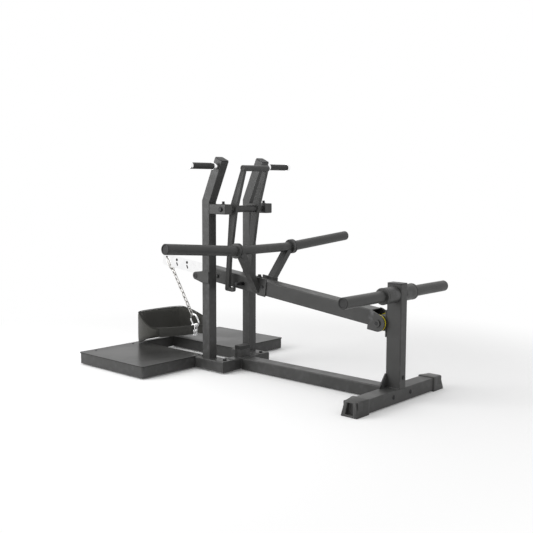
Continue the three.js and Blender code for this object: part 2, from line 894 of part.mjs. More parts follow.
// Pivot bracket on the post: a mounting plate and the housing, trimmed at the post's face
function pivotBracket() {
  const half = postWidth / 2;
  const face = crossbeamFront;
  const plate = block(face - pivotPlate, face, -half, half, pivotHeight - pivotPlateHeight / 2,
    pivotHeight + pivotPlateHeight / 2);
  const housing = rod('y', housingRadius, -housingHalf, housingHalf, [pivotX, pivotHeight], fineSteps);
  const web = block(pivotX, face, -half, half, pivotHeight - housingRadius, pivotHeight + housingRadius);
  const bore = rod('y', pivotRadius + gap, -armWidth, armWidth, [pivotX, pivotHeight]);
  return shape([plate, housing, web], [bore]);
}

function pivotRing() {
  const bore = pivotRadius + gap;
  const [from, to] = [-halfArm + gap, -housingHalf - gap];
  return tubeRing(bore, cheekRadius, from, to, fineSteps).translate(pivotX, 0, pivotHeight);
}

function pivotShaft() {
  const outer = halfArm + cheekThickness + gap;
  const at = [pivotX, pivotHeight];
  const parts = [rod('y', pivotRadius, -outer - pivotHead / 2, outer + pivotHead / 2, at)];
  for (const side of [-1, 1]) {
    const [a, b] = [side * outer, side * (outer + pivotHead)];
    parts.push(rod('y', pivotHeadRadius, Math.min(a, b), Math.max(a, b), at));
  }
  return shape(parts);
}

// Lever arm tube in the arm's frame: X along the arm to the rear, origin on the pivot
function armBeam() {
  const tube = boxTube('x', -halfArm, halfArm, -armBelow, armTopZ, armFrontX, -armRearGap, armWall);
  const cheek = armCheek();
  const hole = rod('y', boltShank + gap, -armWidth, armWidth, [-barBoltBack, armMiddleZ], smallSteps);
  const pinHole = rod('y', catchPinRadius + gap, -armWidth, armWidth, [-catchPinBack, catchPinRise]);
  return shape([tube, cheek, mirrored(cheek)], [hole, pinHole]);
}

// Where a line from an outside point touches a circle about the origin, as an angle
function touchAngle(point, radius) {
  const distance = Math.hypot(point[0], point[1]);
  return Math.atan2(point[1], point[0]) - Math.acos(radius / distance);
}

function armCheek() {
  const flatEnd = [-cheekLead + cheekFlat, armTopZ];
  const angle = touchAngle(flatEnd, cheekRadius);
  const plate = new THREE.Shape();
  plate.moveTo(-cheekLead, armTopZ);
  plate.lineTo(-cheekLead, -cheekRadius);
  plate.lineTo(0, -cheekRadius);
  plate.absarc(0, 0, cheekRadius, -Math.PI / 2, angle, false);
  plate.lineTo(...flatEnd);
  const hole = new THREE.Path();
  hole.absarc(0, 0, pivotRadius + gap, 0, 2 * Math.PI, true);
  plate.holes.push(hole);
  return extruded('y', plate, -halfArm - cheekThickness, -halfArm, roundSteps / 2);
}

// Catch pin through the arm that the lever's hooks go under
function catchPin() {
  const edge = catchPinRadius / 8;
  const pin = turned([
    [0, -catchPinReach],
    [catchPinRadius - edge, -catchPinReach],
    [catchPinRadius, -catchPinReach + edge],
    [catchPinRadius, catchPinReach - edge],
    [catchPinRadius - edge, catchPinReach],
    [0, catchPinReach],
  ]);
  return pin.translate(-catchPinBack, 0, catchPinRise);
}

function armStud() {
  const at = [-armStudBack, 0];
  const base = rod('z', armStudRadius, armTopZ + gap, armTopZ + armStudRise / 2, at, smallSteps);
  const top = rod('z', armStudTopRadius, armTopZ + gap, armTopZ + armStudRise, at, smallSteps);
  return shape([base, top]);
}

// Saddle plate on the arm's side under a strut
function saddlePlate() {
  const [rear, front] = [-saddleRear, -saddleRear - saddleLength];
  const [top, bottom] = [armTopZ + saddleAbove, -saddleBelow];
  const plate = outlineOf([
    [rear, bottom],
    [rear, top],
    [front, top],
    [front, armMiddleZ],
    [front + saddleLength / 2, bottom],
  ]);
  return extruded('y', plate, -halfArm - saddleThickness, -halfArm - gap);
}

// Slanted strut from the saddle plate up to the cross tube
function weightStrut() {
  const seat = halfArm + saddleThickness;
  const foot = new THREE.Vector2(-seat, crossbarRise - strutDrop);
  const head = new THREE.Vector2(-strutTop, crossbarRise);
  const along = head.clone().sub(foot).normalize();
  const across = new THREE.Vector2(along.y, -along.x).multiplyScalar(strutDepth / 2);
  const low = foot.clone().addScaledVector(along, -overrun);
  const outline = outlineOf([
    [low.x - across.x, low.y - across.y],
    [low.x + across.x, low.y + across.y],
    [head.x + across.x, head.y + across.y],
    [head.x - across.x, head.y - across.y],
  ]);
  const half = strutWidth / 2;
  const post = extruded('x', outline, -crossbarBack - half, -crossbarBack + half);
  const seatCut = block(-crossbarBack - strutWidth, -crossbarBack + strutWidth,
    -seat + saddleThickness / 2, seat, -armHeight - overrun, crossbarRise);
  const barCut = rod('y', crossbarRadius + gap, -sleeveTo, 0, [-crossbarBack, crossbarRise], fineSteps);
  const topCut = block(-crossbarBack - strutWidth, -crossbarBack + strutWidth, -sleeveTo, 0,
    crossbarRise, crossbarRise + strutDrop);
  return shape([shape([post], [seatCut, barCut, topCut]), saddlePlate()]);
}

// Cross tube between the sleeves, cut square to their slant
function crossbar() {
  const outer = rod('y', crossbarRadius, -sleeveFrom, sleeveFrom, [-crossbarBack, crossbarRise]);
  const cuts = [];
  for (const side of [-1, 1]) {
    const slab = block(-overrun, overrun, 0, overrun * 2, -overrun, overrun);
    slab.rotateX(sleeveRise * degree).translate(0, sleeveFrom - collarThickness / 4 - gap, 0);
    slab.translate(-crossbarBack, 0, crossbarRise);
    cuts.push(side > 0 ? slab : mirrored(slab));
  }
  return shape([outer], cuts);
}

// Places a piece drawn along -Y from the crossbar's end onto the slanted sleeve
function onSleeve(geometry) {
  return geometry.rotateX(-sleeveRise * degree)
    .translate(-crossbarBack, -(sleeveFrom - collarThickness / 4), crossbarRise);
}

function sleeveSpan() {
  return (sleeveTo - sleeveFrom) / Math.cos(sleeveRise * degree);
}

function weightSleeve() {
  const bore = sleeveRadius - sleeveWall;
  const edge = collarThickness / 5;
  return onSleeve(turned([
    [bore, -sleeveSpan()],
    [sleeveRadius, -sleeveSpan()],
    [sleeveRadius, -collarThickness],
    [collarRadius - edge, -collarThickness],
    [collarRadius, -collarThickness + edge],
    [collarRadius, -edge],
    [collarRadius - edge, 0],
    [bore, 0],
    [bore, -sleeveSpan()],
  ]));
}

function weightCap() {
  return onSleeve(roundCap(sleeveRadius, sleeveWall, -sleeveSpan()));
}

// Chrome belt bar: a flat bar with a round hole and a slanted slot at each station
function beltBar() {
  const [top, bottom] = [armTopZ, armTopZ - barHeight];
  const [tip, root] = [-barTip, armFrontX + barInside];
  const bar = new THREE.Shape();
  bar.moveTo(root, bottom);
  bar.lineTo(root, top - armWall - gap);
  bar.lineTo(armFrontX - gap, top - armWall - gap);
  bar.lineTo(armFrontX - gap, top);
  bar.lineTo(tip + barTipCorner, top);
  bar.absarc(tip + barTipCorner, top - barTipCorner, barTipCorner, Math.PI / 2, Math.PI, false);
  bar.lineTo(tip, bottom + barTipCorner);
  bar.absarc(tip + barTipCorner, bottom + barTipCorner, barTipCorner, Math.PI, 1.5 * Math.PI, false);
  for (let i = 0; i < barStations; i += 1) {
    const x = -barFirst + i * barPitch;
    const round = new THREE.Path();
    round.absarc(x, top - barHoleDrop, barHoleRadius, 0, 2 * Math.PI, true);
    bar.holes.push(round);
    const lean = barSlotLean * degree;
    const half = (barSlotLength - barSlotWidth) / 2;
    const [ux, uz] = [Math.sin(lean), -Math.cos(lean)];
    const [cx, cz] = [x + barSlotWidth / 2, top - barSlotDrop];
    const slot = new THREE.Path();
    const start = Math.atan2(uz, ux);
    const r = barSlotWidth / 2;
    slot.absarc(cx + ux * half, cz + uz * half, r, start + Math.PI / 2, start - Math.PI / 2, true);
    slot.absarc(cx - ux * half, cz - uz * half, r, start - Math.PI / 2, start - 1.5 * Math.PI, true);
    bar.holes.push(slot);
  }
  const hole = new THREE.Path();
  hole.absarc(-barBoltBack, armMiddleZ, boltShank + gap, 0, 2 * Math.PI, true);
  bar.holes.push(hole);
  return extruded('y', bar, -barThickness / 2, barThickness / 2, barSteps);
}

// Socket that fills the arm's mouth around the belt bar
function barSocket() {
  const inset = armWall + gap;
  const half = halfArm - inset;
  const face = roundRect(-halfArm, halfArm, -armBelow, armTopZ, tubeCorner);
  const plug = roundRect(-half, half, -armBelow + inset, armTopZ - inset, gap);
  const lip = extruded('x', face, armFrontX - capThickness * 2, armFrontX - gap);
  const body = extruded('x', plug, armFrontX - capThickness, armFrontX + socketInside);
  const slotSide = barThickness / 2 + gap;
  const slot = block(armFrontX - overrun, armFrontX + barInside + overrun, -slotSide, slotSide,
    armTopZ - barHeight - gap, armTopZ + overrun);
  const hole = rod('y', boltShank + gap, -armWidth, armWidth, [-barBoltBack, armMiddleZ], smallSteps);
  return shape([lip, body], [slot, hole]);
}

function barBolt() {
  const at = [-barBoltBack, armMiddleZ];
  const parts = [rod('y', boltShank, -halfArm - washerThickness, halfArm + washerThickness, at, smallSteps)];
  for (const side of [-1, 1]) {
    parts.push(bolt('y', side * (halfArm + gap), side, at));
  }
  return shape(parts);
}

// Corners of a flat loop with round ends in the XZ plane, outer length along Z and outer width along X
function loopPoints(length, width, wire, corner, steps) {
  const [halfX, halfZ] = [width / 2 - wire - corner, length / 2 - wire - corner];
  const points = [];
  const centres = [[halfX, halfZ], [-halfX, halfZ], [-halfX, -halfZ], [halfX, -halfZ]];
  centres.forEach(([x, z], quarter) => {
    for (let i = 0; i <= steps; i += 1) {
      const a = (quarter + i / steps) * Math.PI / 2;
      const point = new THREE.Vector3(x + corner * Math.cos(a), 0, z + corner * Math.sin(a));
      const last = points[points.length - 1];
      if (!last || last.distanceTo(point) > wire / 10) points.push(point);
    }
  });
  if (points[0].distanceTo(points[points.length - 1]) < wire / 10) points.pop();
  return points;
}

// Round wire along a closed flat loop in the XZ plane
function wireLoop(points, wire, sides = wireSides) {
  const positions = [];
  const index = [];
  const count = points.length;
  const flat = new THREE.Vector3(0, 1, 0);
  points.forEach((here, i) => {
    const ahead = points[(i + 1) % count].clone().sub(here).normalize();
    const behind = here.clone().sub(points[(i + count - 1) % count]).normalize();
    const tangent = ahead.add(behind).normalize();
    const out = new THREE.Vector3().crossVectors(tangent, flat);
    for (let j = 0; j < sides; j += 1) {
      const a = 2 * Math.PI * j / sides;
      const p = here.clone()
        .addScaledVector(out, Math.cos(a) * wire)
        .addScaledVector(flat, Math.sin(a) * wire);
      positions.push(p.x, p.y, p.z);
    }
  });
  for (let i = 0; i < count; i += 1) {
    const next = (i + 1) % count;
    for (let j = 0; j < sides; j += 1) {
      const k = (j + 1) % sides;
      const [a, b, c, d] = [i * sides + j, next * sides + j, next * sides + k, i * sides + k];
      index.push(a, c, b, a, d, c);
    }
  }
  return closed(outwardFaces(positions, index));
}

// A geometry from corners and triangles, its faces turned out if they point in
function outwardFaces(positions, index) {
  let volume = 0;
  const corner = (i) => new THREE.Vector3(positions[3 * i], positions[3 * i + 1], positions[3 * i + 2]);
  for (let i = 0; i < index.length; i += 3) {
    volume += corner(index[i]).dot(corner(index[i + 1]).cross(corner(index[i + 2])));
  }
  const geometry = new THREE.BufferGeometry();
  geometry.setAttribute('position', new THREE.BufferAttribute(new Float32Array(positions), 3));
  geometry.setIndex(volume > 0 ? index : index.slice().reverse());
  geometry.computeVertexNormals();
  return geometry;
}

// A loop whose ends are half circles
function oval(length, width, wire, steps) {
  return wireLoop(loopPoints(length, width, wire, width / 2 - wire, steps), wire);
}

// A point of the arm's frame in the machine's
function armPoint(x, y, z) {
  armFrame.updateMatrix();
  return new THREE.Vector3(x, y, z).applyMatrix4(armFrame.matrix);
}

// The chain's line from the first station's hole to the lower ring
const chainStart = armPoint(-barFirst, 0, armTopZ - barHoleDrop);
const chainLine = new THREE.Vector3(
  Math.sin(chainLean * degree), -Math.sin(chainDrift * degree), -Math.cos(chainLean * degree)).normalize();
const chainUp = chainLine.clone().negate();
const chainAcross = new THREE.Vector3(0, 1, 0).cross(chainUp).normalize();
const chainSide = chainUp.clone().cross(chainAcross);

// Distances along that line, each the middle of a wire at the top or bottom of a loop
const carabinerArc = carabinerWidth / 2 - carabinerWire;
const carabinerSag = carabinerArc - Math.sqrt(carabinerArc ** 2 - (barThickness / 2) ** 2)
  + barThickness / 2 * Math.abs(Math.sin(chainDrift * degree));
const carabinerTop = barHoleRadius - carabinerWire - 3 * gap - carabinerSag;
const carabinerBottom = carabinerTop + carabinerLength - 2 * carabinerWire;
const swivelTop = carabinerBottom - carabinerWire - swivelWire - gap;
const swivelBottom = swivelTop + swivelLength - 2 * swivelWire;
const chainTop = swivelBottom - swivelWire - wireRadius - gap;

// The lower ring hangs where the far belt ring is level with the belt, and the links share what is left
const hangArc = ringWidth / 2 - ringWire;
const hangReach = hangArc - ringWire - endRingWire - 2 * gap;
const farRingTop = beltMiddle + endRingLength / 2 - endRingWire;
const farRise = chainAcross.z * hangReach * Math.sin(farHang * degree);
const ringBottom = (farRingTop - chainStart.z - farRise) / chainLine.z
  + hangArc - hangReach * Math.cos(farHang * degree);
const ringTop = ringBottom - ringLength + 2 * ringWire;
const chainBottom = ringTop + wireRadius + ringWire + gap;
const linkPitch = (chainBottom - chainTop - 2 * wireRadius - (linkCount - 1) * linkSink) / linkCount;
const linkLength = linkPitch + 4 * wireRadius;
const linkStep = linkPitch + linkSink;

// Sets a loop on the chain's line: its middle at a distance, its plane across or along the belt bar
function onChain(geometry, distance, crosswise) {
  const basis = crosswise
    ? new THREE.Matrix4().makeBasis(chainSide, chainAcross.clone().negate(), chainUp)
    : new THREE.Matrix4().makeBasis(chainAcross, chainSide, chainUp);
  const place = chainStart.clone().addScaledVector(chainLine, distance);
  return geometry.clone().applyMatrix4(basis.setPosition(place));
}

// Carabiner through the belt bar's hole: a wire loop and a gate nut on one side
function carabiner() {
  const body = oval(carabinerLength, carabinerWidth, carabinerWire, roundSteps / 4);
  const nut = rod('z', carabinerNutRadius, -carabinerLength / 8, carabinerLength / 8,
    [carabinerWidth / 2 - carabinerWire, 0], smallSteps);
  return onChain(shape([body, nut]), (carabinerTop + carabinerBottom) / 2, true);
}

// Swivel: an eye above and below a barrel
function swivel() {
  const eye = swivelLength / 2;
  const parts = [];
  for (const side of [-1, 1]) {
    const loop = oval(eye, swivelWidth, swivelWire, bendSteps);
    parts.push(loop.translate(0, 0, side * (swivelLength - eye) / 2));
  }
  const barrel = swivelWidth / 3;
  parts.push(rod('z', barrel, -swivelWire * 2, swivelWire * 2, [0, 0], smallSteps));
  return onChain(shape(parts), (swivelTop + swivelBottom) / 2, false);
}

// Chain of oval links, each turned a quarter from the last and pulled tight against it
function chain() {
  const links = [];
  for (let i = 0; i < linkCount; i += 1) {
    const middle = chainTop + i * linkStep + linkLength / 2 - wireRadius;
    links.push(onChain(oval(linkLength, linkWidth, wireRadius, bendSteps), middle, i % 2 === 0));
  }
  return shape(links);
}

// Large ring at the chain's lower end
function lowerRing() {
  return onChain(oval(ringLength, ringWidth, ringWire, roundSteps / 4), (ringTop + ringBottom) / 2, false);
}

// Where a belt ring's top hangs inside the lower ring, at an angle round that ring's lower arc
function hangPoint(angle) {
  return chainStart.clone()
    .addScaledVector(chainLine, ringBottom - hangArc + hangReach * Math.cos(angle * degree))
    .addScaledVector(chainAcross, hangReach * Math.sin(angle * degree));
}

// The belt's route in plan: from the near ring round the front to the far ring
const endRingArm = endRingWidth / 2 - endRingWire;
const nearTurn = nearEndTurn * degree;
const farTurn = farEndTurn * degree;
const nearWay = new THREE.Vector3(Math.cos(nearTurn), Math.sin(nearTurn), 0);
const farWay = new THREE.Vector3(Math.cos(farTurn), Math.sin(farTurn), 0);
const nearEnd = hangPoint(nearHang).addScaledVector(nearWay, -endRingArm);
const farEnd = hangPoint(farHang).addScaledVector(farWay, -endRingArm);
const beltRoot = chainStart.clone().addScaledVector(chainLine, ringBottom);
const beltRoute = new THREE.CatmullRomCurve3([
  nearEnd.clone().addScaledVector(nearWay, strapLoop),
  ...beltRouteShares.map(([x, y]) => new THREE.Vector3(
    beltRoot.x + x * beltDepth, beltRoot.y + y * beltBreadth, 0)),
  farEnd.clone().addScaledVector(farWay, strapLoop),
].map((point) => new THREE.Vector3(point.x, point.y, 0)), false, 'centripetal');

// The height and thickness of the belt at a share of its length
function beltSize(t) {
  const taper = (from, to) => THREE.MathUtils.smoothstep(t, from, to);
  const pad = taper(...padStartShares) * (1 - taper(...padEndShares));
  const end = Math.max(1 - taper(0, strapEndShare), taper(1 - strapEndShare, 1));
  const height = strapHeight + (beltHeight - strapHeight) * pad - (strapHeight - strapEndHeight) * end;
  const thickness = strapThickness + (beltThickness - strapThickness) * Math.max(pad, end);
  return [height, thickness];
}

// A stretch of the belt: upright sections with round corners along the route
function beltStretch(from, to) {
  const count = Math.max(2, Math.round((to - from) * beltSteps));
  const positions = [];
  const index = [];
  const section = [];
  const corners = [[1, 1], [-1, 1], [-1, -1], [1, -1]];
  corners.forEach(([a, b], quarter) => {
    for (let i = 0; i <= 2; i += 1) {
      section.push([a, b, (quarter + i / 2) * Math.PI / 2]);
    }
  });
  const sides = section.length;
  for (let i = 0; i <= count; i += 1) {
    const t = from + (to - from) * i / count;
    const here = beltRoute.getPointAt(t);
    const ahead = beltRoute.getTangentAt(t);
    const out = new THREE.Vector3(ahead.y, -ahead.x, 0);
    const [height, thickness] = beltSize(t);
    const round = Math.min(beltRound, thickness / 2);
    for (const [a, b, angle] of section) {
      const n = a * (thickness / 2 - round) + round * Math.cos(angle);
      const z = b * (height / 2 - round) + round * Math.sin(angle);
      positions.push(here.x + out.x * n, here.y + out.y * n, beltMiddle + z);
    }
  }
  for (let i = 0; i < count; i += 1) {
    for (let j = 0; j < sides; j += 1) {
      const k = (j + 1) % sides;
      const [a, b, c, d] = [i * sides + j, (i + 1) * sides + j, (i + 1) * sides + k, i * sides + k];
      index.push(a, b, c, a, c, d);
    }
  }
  for (let j = 1; j < sides - 1; j += 1) {
    const last = count * sides;
    index.push(0, j, j + 1, last, last + j + 1, last + j);
  }
  return closed(outwardFaces(positions, index));
}

// The bore for an end ring's upright side
function ringBore(end) {
  return rod('z', endRingWire + gap, beltMiddle - beltHeight, beltMiddle + beltHeight,
    [end.x, end.y], smallSteps);
}

function beltPad() {
  return beltStretch(padStartShares[0] + seamShare, padEndShares[1] - seamShare);
}

function nearStrap() {
  return shape([beltStretch(0, padStartShares[0])], [ringBore(nearEnd)]);
}

function farStrap() {
  return shape([beltStretch(padEndShares[1], 1)], [ringBore(farEnd)]);
}

// Upright oval ring at a strap's end
function endRing(hang, turn) {
  const points = loopPoints(endRingLength, endRingWidth, endRingWire, endRingCorner, bendSteps);
  const top = hangPoint(hang);
  return wireLoop(points, endRingWire).rotateZ(turn)
    .translate(top.x, top.y, top.z - endRingLength / 2 + endRingWire);
}

// The base
add(machine, 'rear_crossbeam', rearCrossbeam(), graphite);
addPair(machine, 'rear_foot', rearFoot(), blackRubber);
add(machine, 'rear_post', rearPost(), graphite);
add(machine, 'rear_post_cap', postCap(), blackPlastic);
add(machine, 'centre_beam', centreBeam(), graphite);
add(machine, 'cross_tube', crossTube(), graphite);
addPair(machine, 'skid', skid(), graphite);

// The platform
add(machine, 'platform_frame', platformFrame(), graphite);
add(machine, 'platform_deck', platformDeck(), deck);

// Bumper, storage bar and uprights
add(machine, 'bumper_post', bumperPost(), graphite);
add(machine, 'bumper_pad', bumperPad(), blackRubber);
add(machine, 'storage_bar', storageBar(), graphite);
addPair(machine, 'storage_cap', roundCap(storageRadius, sleeveWall, -storageReach)
  .translate(postDistance, 0, storageHeight), blackPlastic);
addPair(machine, 'upright', upright(), graphite);
addPair(machine, 'upright_cap', uprightCap(), blackPlastic);
addPair(machine, 'grip_bar', gripBar(), chrome);
addPair(machine, 'grip_sleeve', gripSleeveRing(), blackRubber);
add(machine, 'ear_plate', earPlate(), graphite);

// The lock lever and what carries it
addPair(machine, 'lock_bracket', lockBracket(), graphite);
addPair(machine, 'stop_bolt', stopBolt(), blackPlastic);
add(machine, 'lock_shaft', lockShaft(), zinc);
addPair(leverFrame, 'lock_arm', leverArmBelowHandle(), graphite);
add(leverFrame, 'lock_sleeve', leverSleeve(), graphite);
add(leverFrame, 'lock_handle', leverHandle(), graphite);

// The pivot on the post
add(machine, 'pivot_bracket', pivotBracket(), graphite);
addPair(machine, 'pivot_ring', pivotRing(), accent);
add(machine, 'pivot_shaft', pivotShaft(), zinc);

// The lever arm and what it carries
add(armFrame, 'arm_beam', armBeam(), graphite);
add(armFrame, 'catch_pin', catchPin(), zinc);
add(armFrame, 'arm_stud', armStud(), blackRubber);
addPair(armFrame, 'weight_strut', weightStrut(), graphite);
add(armFrame, 'weight_crossbar', crossbar(), graphite);
addPair(armFrame, 'weight_sleeve', weightSleeve(), graphite);
addPair(armFrame, 'weight_cap', weightCap(), blackPlastic);
add(armFrame, 'belt_bar', beltBar(), chrome);
add(armFrame, 'bar_socket', barSocket(), graphite);
add(armFrame, 'bar_bolt', barBolt(), zinc);

// Chain, hooks and belt
add(machine, 'carabiner', carabiner(), chrome);
add(machine, 'swivel', swivel(), chrome);
add(machine, 'chain', chain(), chrome);
add(machine, 'lower_ring', lowerRing(), chrome);
add(machine, 'belt_ring_right', endRing(nearHang, nearTurn), chrome);
add(machine, 'belt_ring_left', endRing(farHang, farTurn), chrome);
add(machine, 'belt_pad', beltPad(), beltCloth);
add(machine, 'belt_strap_right', nearStrap(), beltCloth);
add(machine, 'belt_strap_left', farStrap(), beltCloth);

// The origin lies on the floor under the middle of the whole machine
machine.position.x = -(platformFront + postDistance + footSole / 2) / 2;

export default machine;
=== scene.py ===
"""Belt squat machine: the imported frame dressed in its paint, rubber, chrome, webbing and fasteners."""
import json
import logging
import math
from bisect import bisect_right
from collections.abc import Sequence
from dataclasses import dataclass, field
from enum import Enum
from itertools import accumulate

import bmesh
import bpy
from bpy.types import ID, Material, Mesh, Node, NodeInputs, NodeOutputs, NodeSocket, NodeTree, Object, World
from mathutils import Matrix, Vector
from mathutils.kdtree import KDTree


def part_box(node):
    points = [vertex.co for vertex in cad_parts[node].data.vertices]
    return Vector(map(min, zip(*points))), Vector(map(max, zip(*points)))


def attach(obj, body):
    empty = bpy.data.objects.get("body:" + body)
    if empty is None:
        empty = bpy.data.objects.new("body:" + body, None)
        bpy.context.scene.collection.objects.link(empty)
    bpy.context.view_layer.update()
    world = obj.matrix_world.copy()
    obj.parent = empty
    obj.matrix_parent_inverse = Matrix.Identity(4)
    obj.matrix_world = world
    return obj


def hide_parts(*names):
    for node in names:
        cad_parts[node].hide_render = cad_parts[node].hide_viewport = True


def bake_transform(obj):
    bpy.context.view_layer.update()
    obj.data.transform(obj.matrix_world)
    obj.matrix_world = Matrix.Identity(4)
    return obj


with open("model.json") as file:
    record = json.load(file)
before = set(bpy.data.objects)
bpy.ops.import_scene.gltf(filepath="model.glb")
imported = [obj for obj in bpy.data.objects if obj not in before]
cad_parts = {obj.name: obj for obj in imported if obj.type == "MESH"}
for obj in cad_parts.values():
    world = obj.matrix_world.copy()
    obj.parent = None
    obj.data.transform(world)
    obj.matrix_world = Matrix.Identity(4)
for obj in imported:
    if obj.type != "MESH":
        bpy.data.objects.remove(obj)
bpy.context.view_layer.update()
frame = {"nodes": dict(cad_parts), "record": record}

log = logging.getLogger("belt_squat_machine")
Colour = tuple[float, float, float]
Pair = tuple[float, float]
Rows = tuple[Pair, ...]
Outline = Sequence[Pair]
MM = 0.001
UP = Vector((0.0, 0.0, 1.0))
SIDES = (-1.0, 1.0)


def mm(x: float, y: float, z: float) -> Vector:
    """A point given in millimetres, in metres."""
    return Vector((x, y, z)) * MM


def sideways(side: float) -> Vector:
    """The way to the machine's right (-1) or left (1)."""
    return Vector((0.0, side, 0.0))


def rgba(colour: Colour) -> tuple[float, float, float, float]:
    """The colour with full cover."""
    return (*colour, 1.0)


def grey(level: float) -> Colour:
    """A colour without hue."""
    return (level, level, level)


def smooth_step(value: float) -> float:
    """Eases a share from 0 to 1."""
    share = min(1.0, max(0.0, value))
    return share * share * (3.0 - 2.0 * share)


def ramp(value: float, start: float, end: float) -> float:
    """Eases a value from 0 at the start to 1 at the end."""
    return smooth_step((value - start) / (end - start))


def arc(radius: float, steps: int, start: float = 0.0, end: float = 360.0) -> list[Pair]:
    """Points at even steps round an arc.

    Args:
        radius: The arc's radius.
        steps: How many steps it is cut into.
        start: The angle that it starts at, in degrees.
        end: The angle that it ends at.

    Returns:
        The points, both ends among them, or each once where the arc is a full circle.
    """
    count = steps if end - start >= 360.0 else steps + 1
    angles = [math.radians(start + (end - start) * i / steps) for i in range(count)]
    return [(radius * math.cos(a), radius * math.sin(a)) for a in angles]


def lengths(points: Sequence[Vector]) -> list[float]:
    """How far along a closed row each point lies, and the whole way round."""
    following = [*points[1:], points[0]]
    return [0.0, *accumulate((two - one).length for one, two in zip(points, following))]


def in_scene(name: str, data: ID) -> Object:
    """Makes an object of the data and puts it in the scene.

    Args:
        name: The object's name.
        data: Its mesh, lamp or camera.

    Returns:
        The object.
    """
    made = bpy.data.objects.new(name, data)
    bpy.context.scene.collection.objects.link(made)
    return made


def evaluated(piece: Object) -> Mesh:
    """Takes the piece's mesh as its modifiers leave it.

    Args:
        piece: The object.

    Returns:
        A mesh of its own.
    """
    bpy.context.view_layer.update()
    graph = bpy.context.evaluated_depsgraph_get()
    return bpy.data.meshes.new_from_object(piece.evaluated_get(graph), depsgraph=graph)


def bake(piece: Object) -> None:
    """Applies every modifier of a piece.

    Args:
        piece: The object.
    """
    mesh = evaluated(piece)
    piece.modifiers.clear()
    piece.data = mesh


class Box:
    """A CAD node's box at rest, in millimetres."""

    def __init__(self, node: str) -> None:
        """Measures the node."""
        self.low, self.high = (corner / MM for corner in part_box(node))
        self.middle = (self.low + self.high) / 2.0


class Socket(Enum):
    """Kinds of input and output that a node group may have."""

    NUMBER = "NodeSocketFloat"
    WHOLE = "NodeSocketInt"
    SHAPE = "NodeSocketGeometry"
    FINISH = "NodeSocketMaterial"
    PART = "NodeSocketObject"


class Board:
    """Sets nodes on one tree and joins them."""

    def __init__(self, tree: NodeTree) -> None:
        """Keeps the tree that the nodes go on."""
        self.tree = tree

    @classmethod
    def cleared(cls, owner: Material | World) -> "Board":
        """Empties a material's or a world's own tree.

        Args:
            owner: The material or the world.

        Returns:
            The board of its tree.
        """
        owner.use_nodes = True
        owner.node_tree.nodes.clear()
        return cls(owner.node_tree)

    def add(self, kind: str, inputs: dict | None = None, **settings: object) -> Node:
        """Adds a node.

        Args:
            kind: The node's type.
            inputs: Values or sockets for its inputs, by name or number.
            settings: Its own settings, set before the inputs.

        Returns:
            The node.
        """
        node = self.tree.nodes.new(kind)
        node.location = (190.0 * len(self.tree.nodes), 0.0)
        for name, value in settings.items():
            setattr(node, name, value)
        for key, value in (inputs or {}).items():
            if isinstance(value, NodeSocket):
                self.join(value, node.inputs[key])
            else:
                node.inputs[key].default_value = value
        return node

    def join(self, source: NodeSocket, target: NodeSocket) -> None:
        """Links an output to an input."""
        self.tree.links.new(source, target)

    def calc(self, operation: str, *values: object) -> NodeSocket:
        """The result of one sum on numbers."""
        return self.add("ShaderNodeMath", dict(enumerate(values)), operation=operation).outputs[0]

    def times(self, *values: object) -> NodeSocket:
        """The product of two numbers."""
        return self.calc("MULTIPLY", *values)

    def spread(self, value: object, low: float, high: float, start: float = 0.0, end: float = 1.0,
               ) -> NodeSocket:
        """The value eased from low..high onto start..end."""
        inputs = {"Value": value, "From Min": low, "From Max": high, "To Min": start, "To Max": end}
        return self.add("ShaderNodeMapRange", inputs, interpolation_type="SMOOTHSTEP").outputs[0]

    def blend(self, share: object, first: object, second: object) -> NodeSocket:
        """One colour or the other by the share."""
        first, second = (rgba(c) if isinstance(c, tuple) else c for c in (first, second))
        return self.add("ShaderNodeMix", {0: share, 6: first, 7: second}, data_type="RGBA").outputs[2]

    def noise(self, place: object, scale: object, detail: float) -> NodeSocket:
        """Even noise at a place."""
        return self.add("ShaderNodeTexNoise", {"Vector": place, "Scale": scale, "Detail": detail}).outputs[0]

    def place(self) -> NodeSocket:
        """The place on the machine, in metres."""
        return self.add("ShaderNodeTexCoord").outputs["Object"]

    def patches(self, size: NodeSocket, detail: float) -> NodeSocket:
        """Noise over the machine with spots of a size."""
        return self.noise(self.place(), self.calc("DIVIDE", 1.0, size), detail)

    def axes(self, arrow: NodeSocket) -> NodeOutputs:
        """The arrow's X, Y and Z."""
        return self.add("ShaderNodeSeparateXYZ", {0: arrow}).outputs

    def wave(self, place: object, factor: float = math.pi) -> NodeSocket:
        """Humps along a line, one for each whole step of place times factor over pi."""
        return self.calc("ABSOLUTE", self.calc("SINE", self.times(place, factor)))

    def effect(self, effect: "Effect", values: dict[str, float]) -> NodeOutputs:
        """Sets a shader group's sizes and gives its outputs."""
        return self.add("ShaderNodeGroup", values, node_tree=effect.group()).outputs


def new_tree(name: str, kind: str, takes: dict[str, tuple[Socket, object]], gives: dict[str, Socket],
             ) -> tuple[Board, NodeOutputs, NodeInputs]:
    """Starts a node group.

    Args:
        name: The group's name.
        kind: ShaderNodeTree or GeometryNodeTree.
        takes: Its inputs, each with a kind and a first value.
        gives: Its outputs.

    Returns:
        The board, the sockets that bring the inputs, and the sockets that take the results.
    """
    tree = bpy.data.node_groups.new(name, kind)
    for label, (socket, value) in takes.items():
        made = tree.interface.new_socket(name=label, in_out="INPUT", socket_type=socket.value)
        if value is not None:
            made.default_value = value
    for label, socket in gives.items():
        tree.interface.new_socket(name=label, in_out="OUTPUT", socket_type=socket.value)
    board = Board(tree)
    return board, board.add("NodeGroupInput").outputs, board.add("NodeGroupOutput").inputs


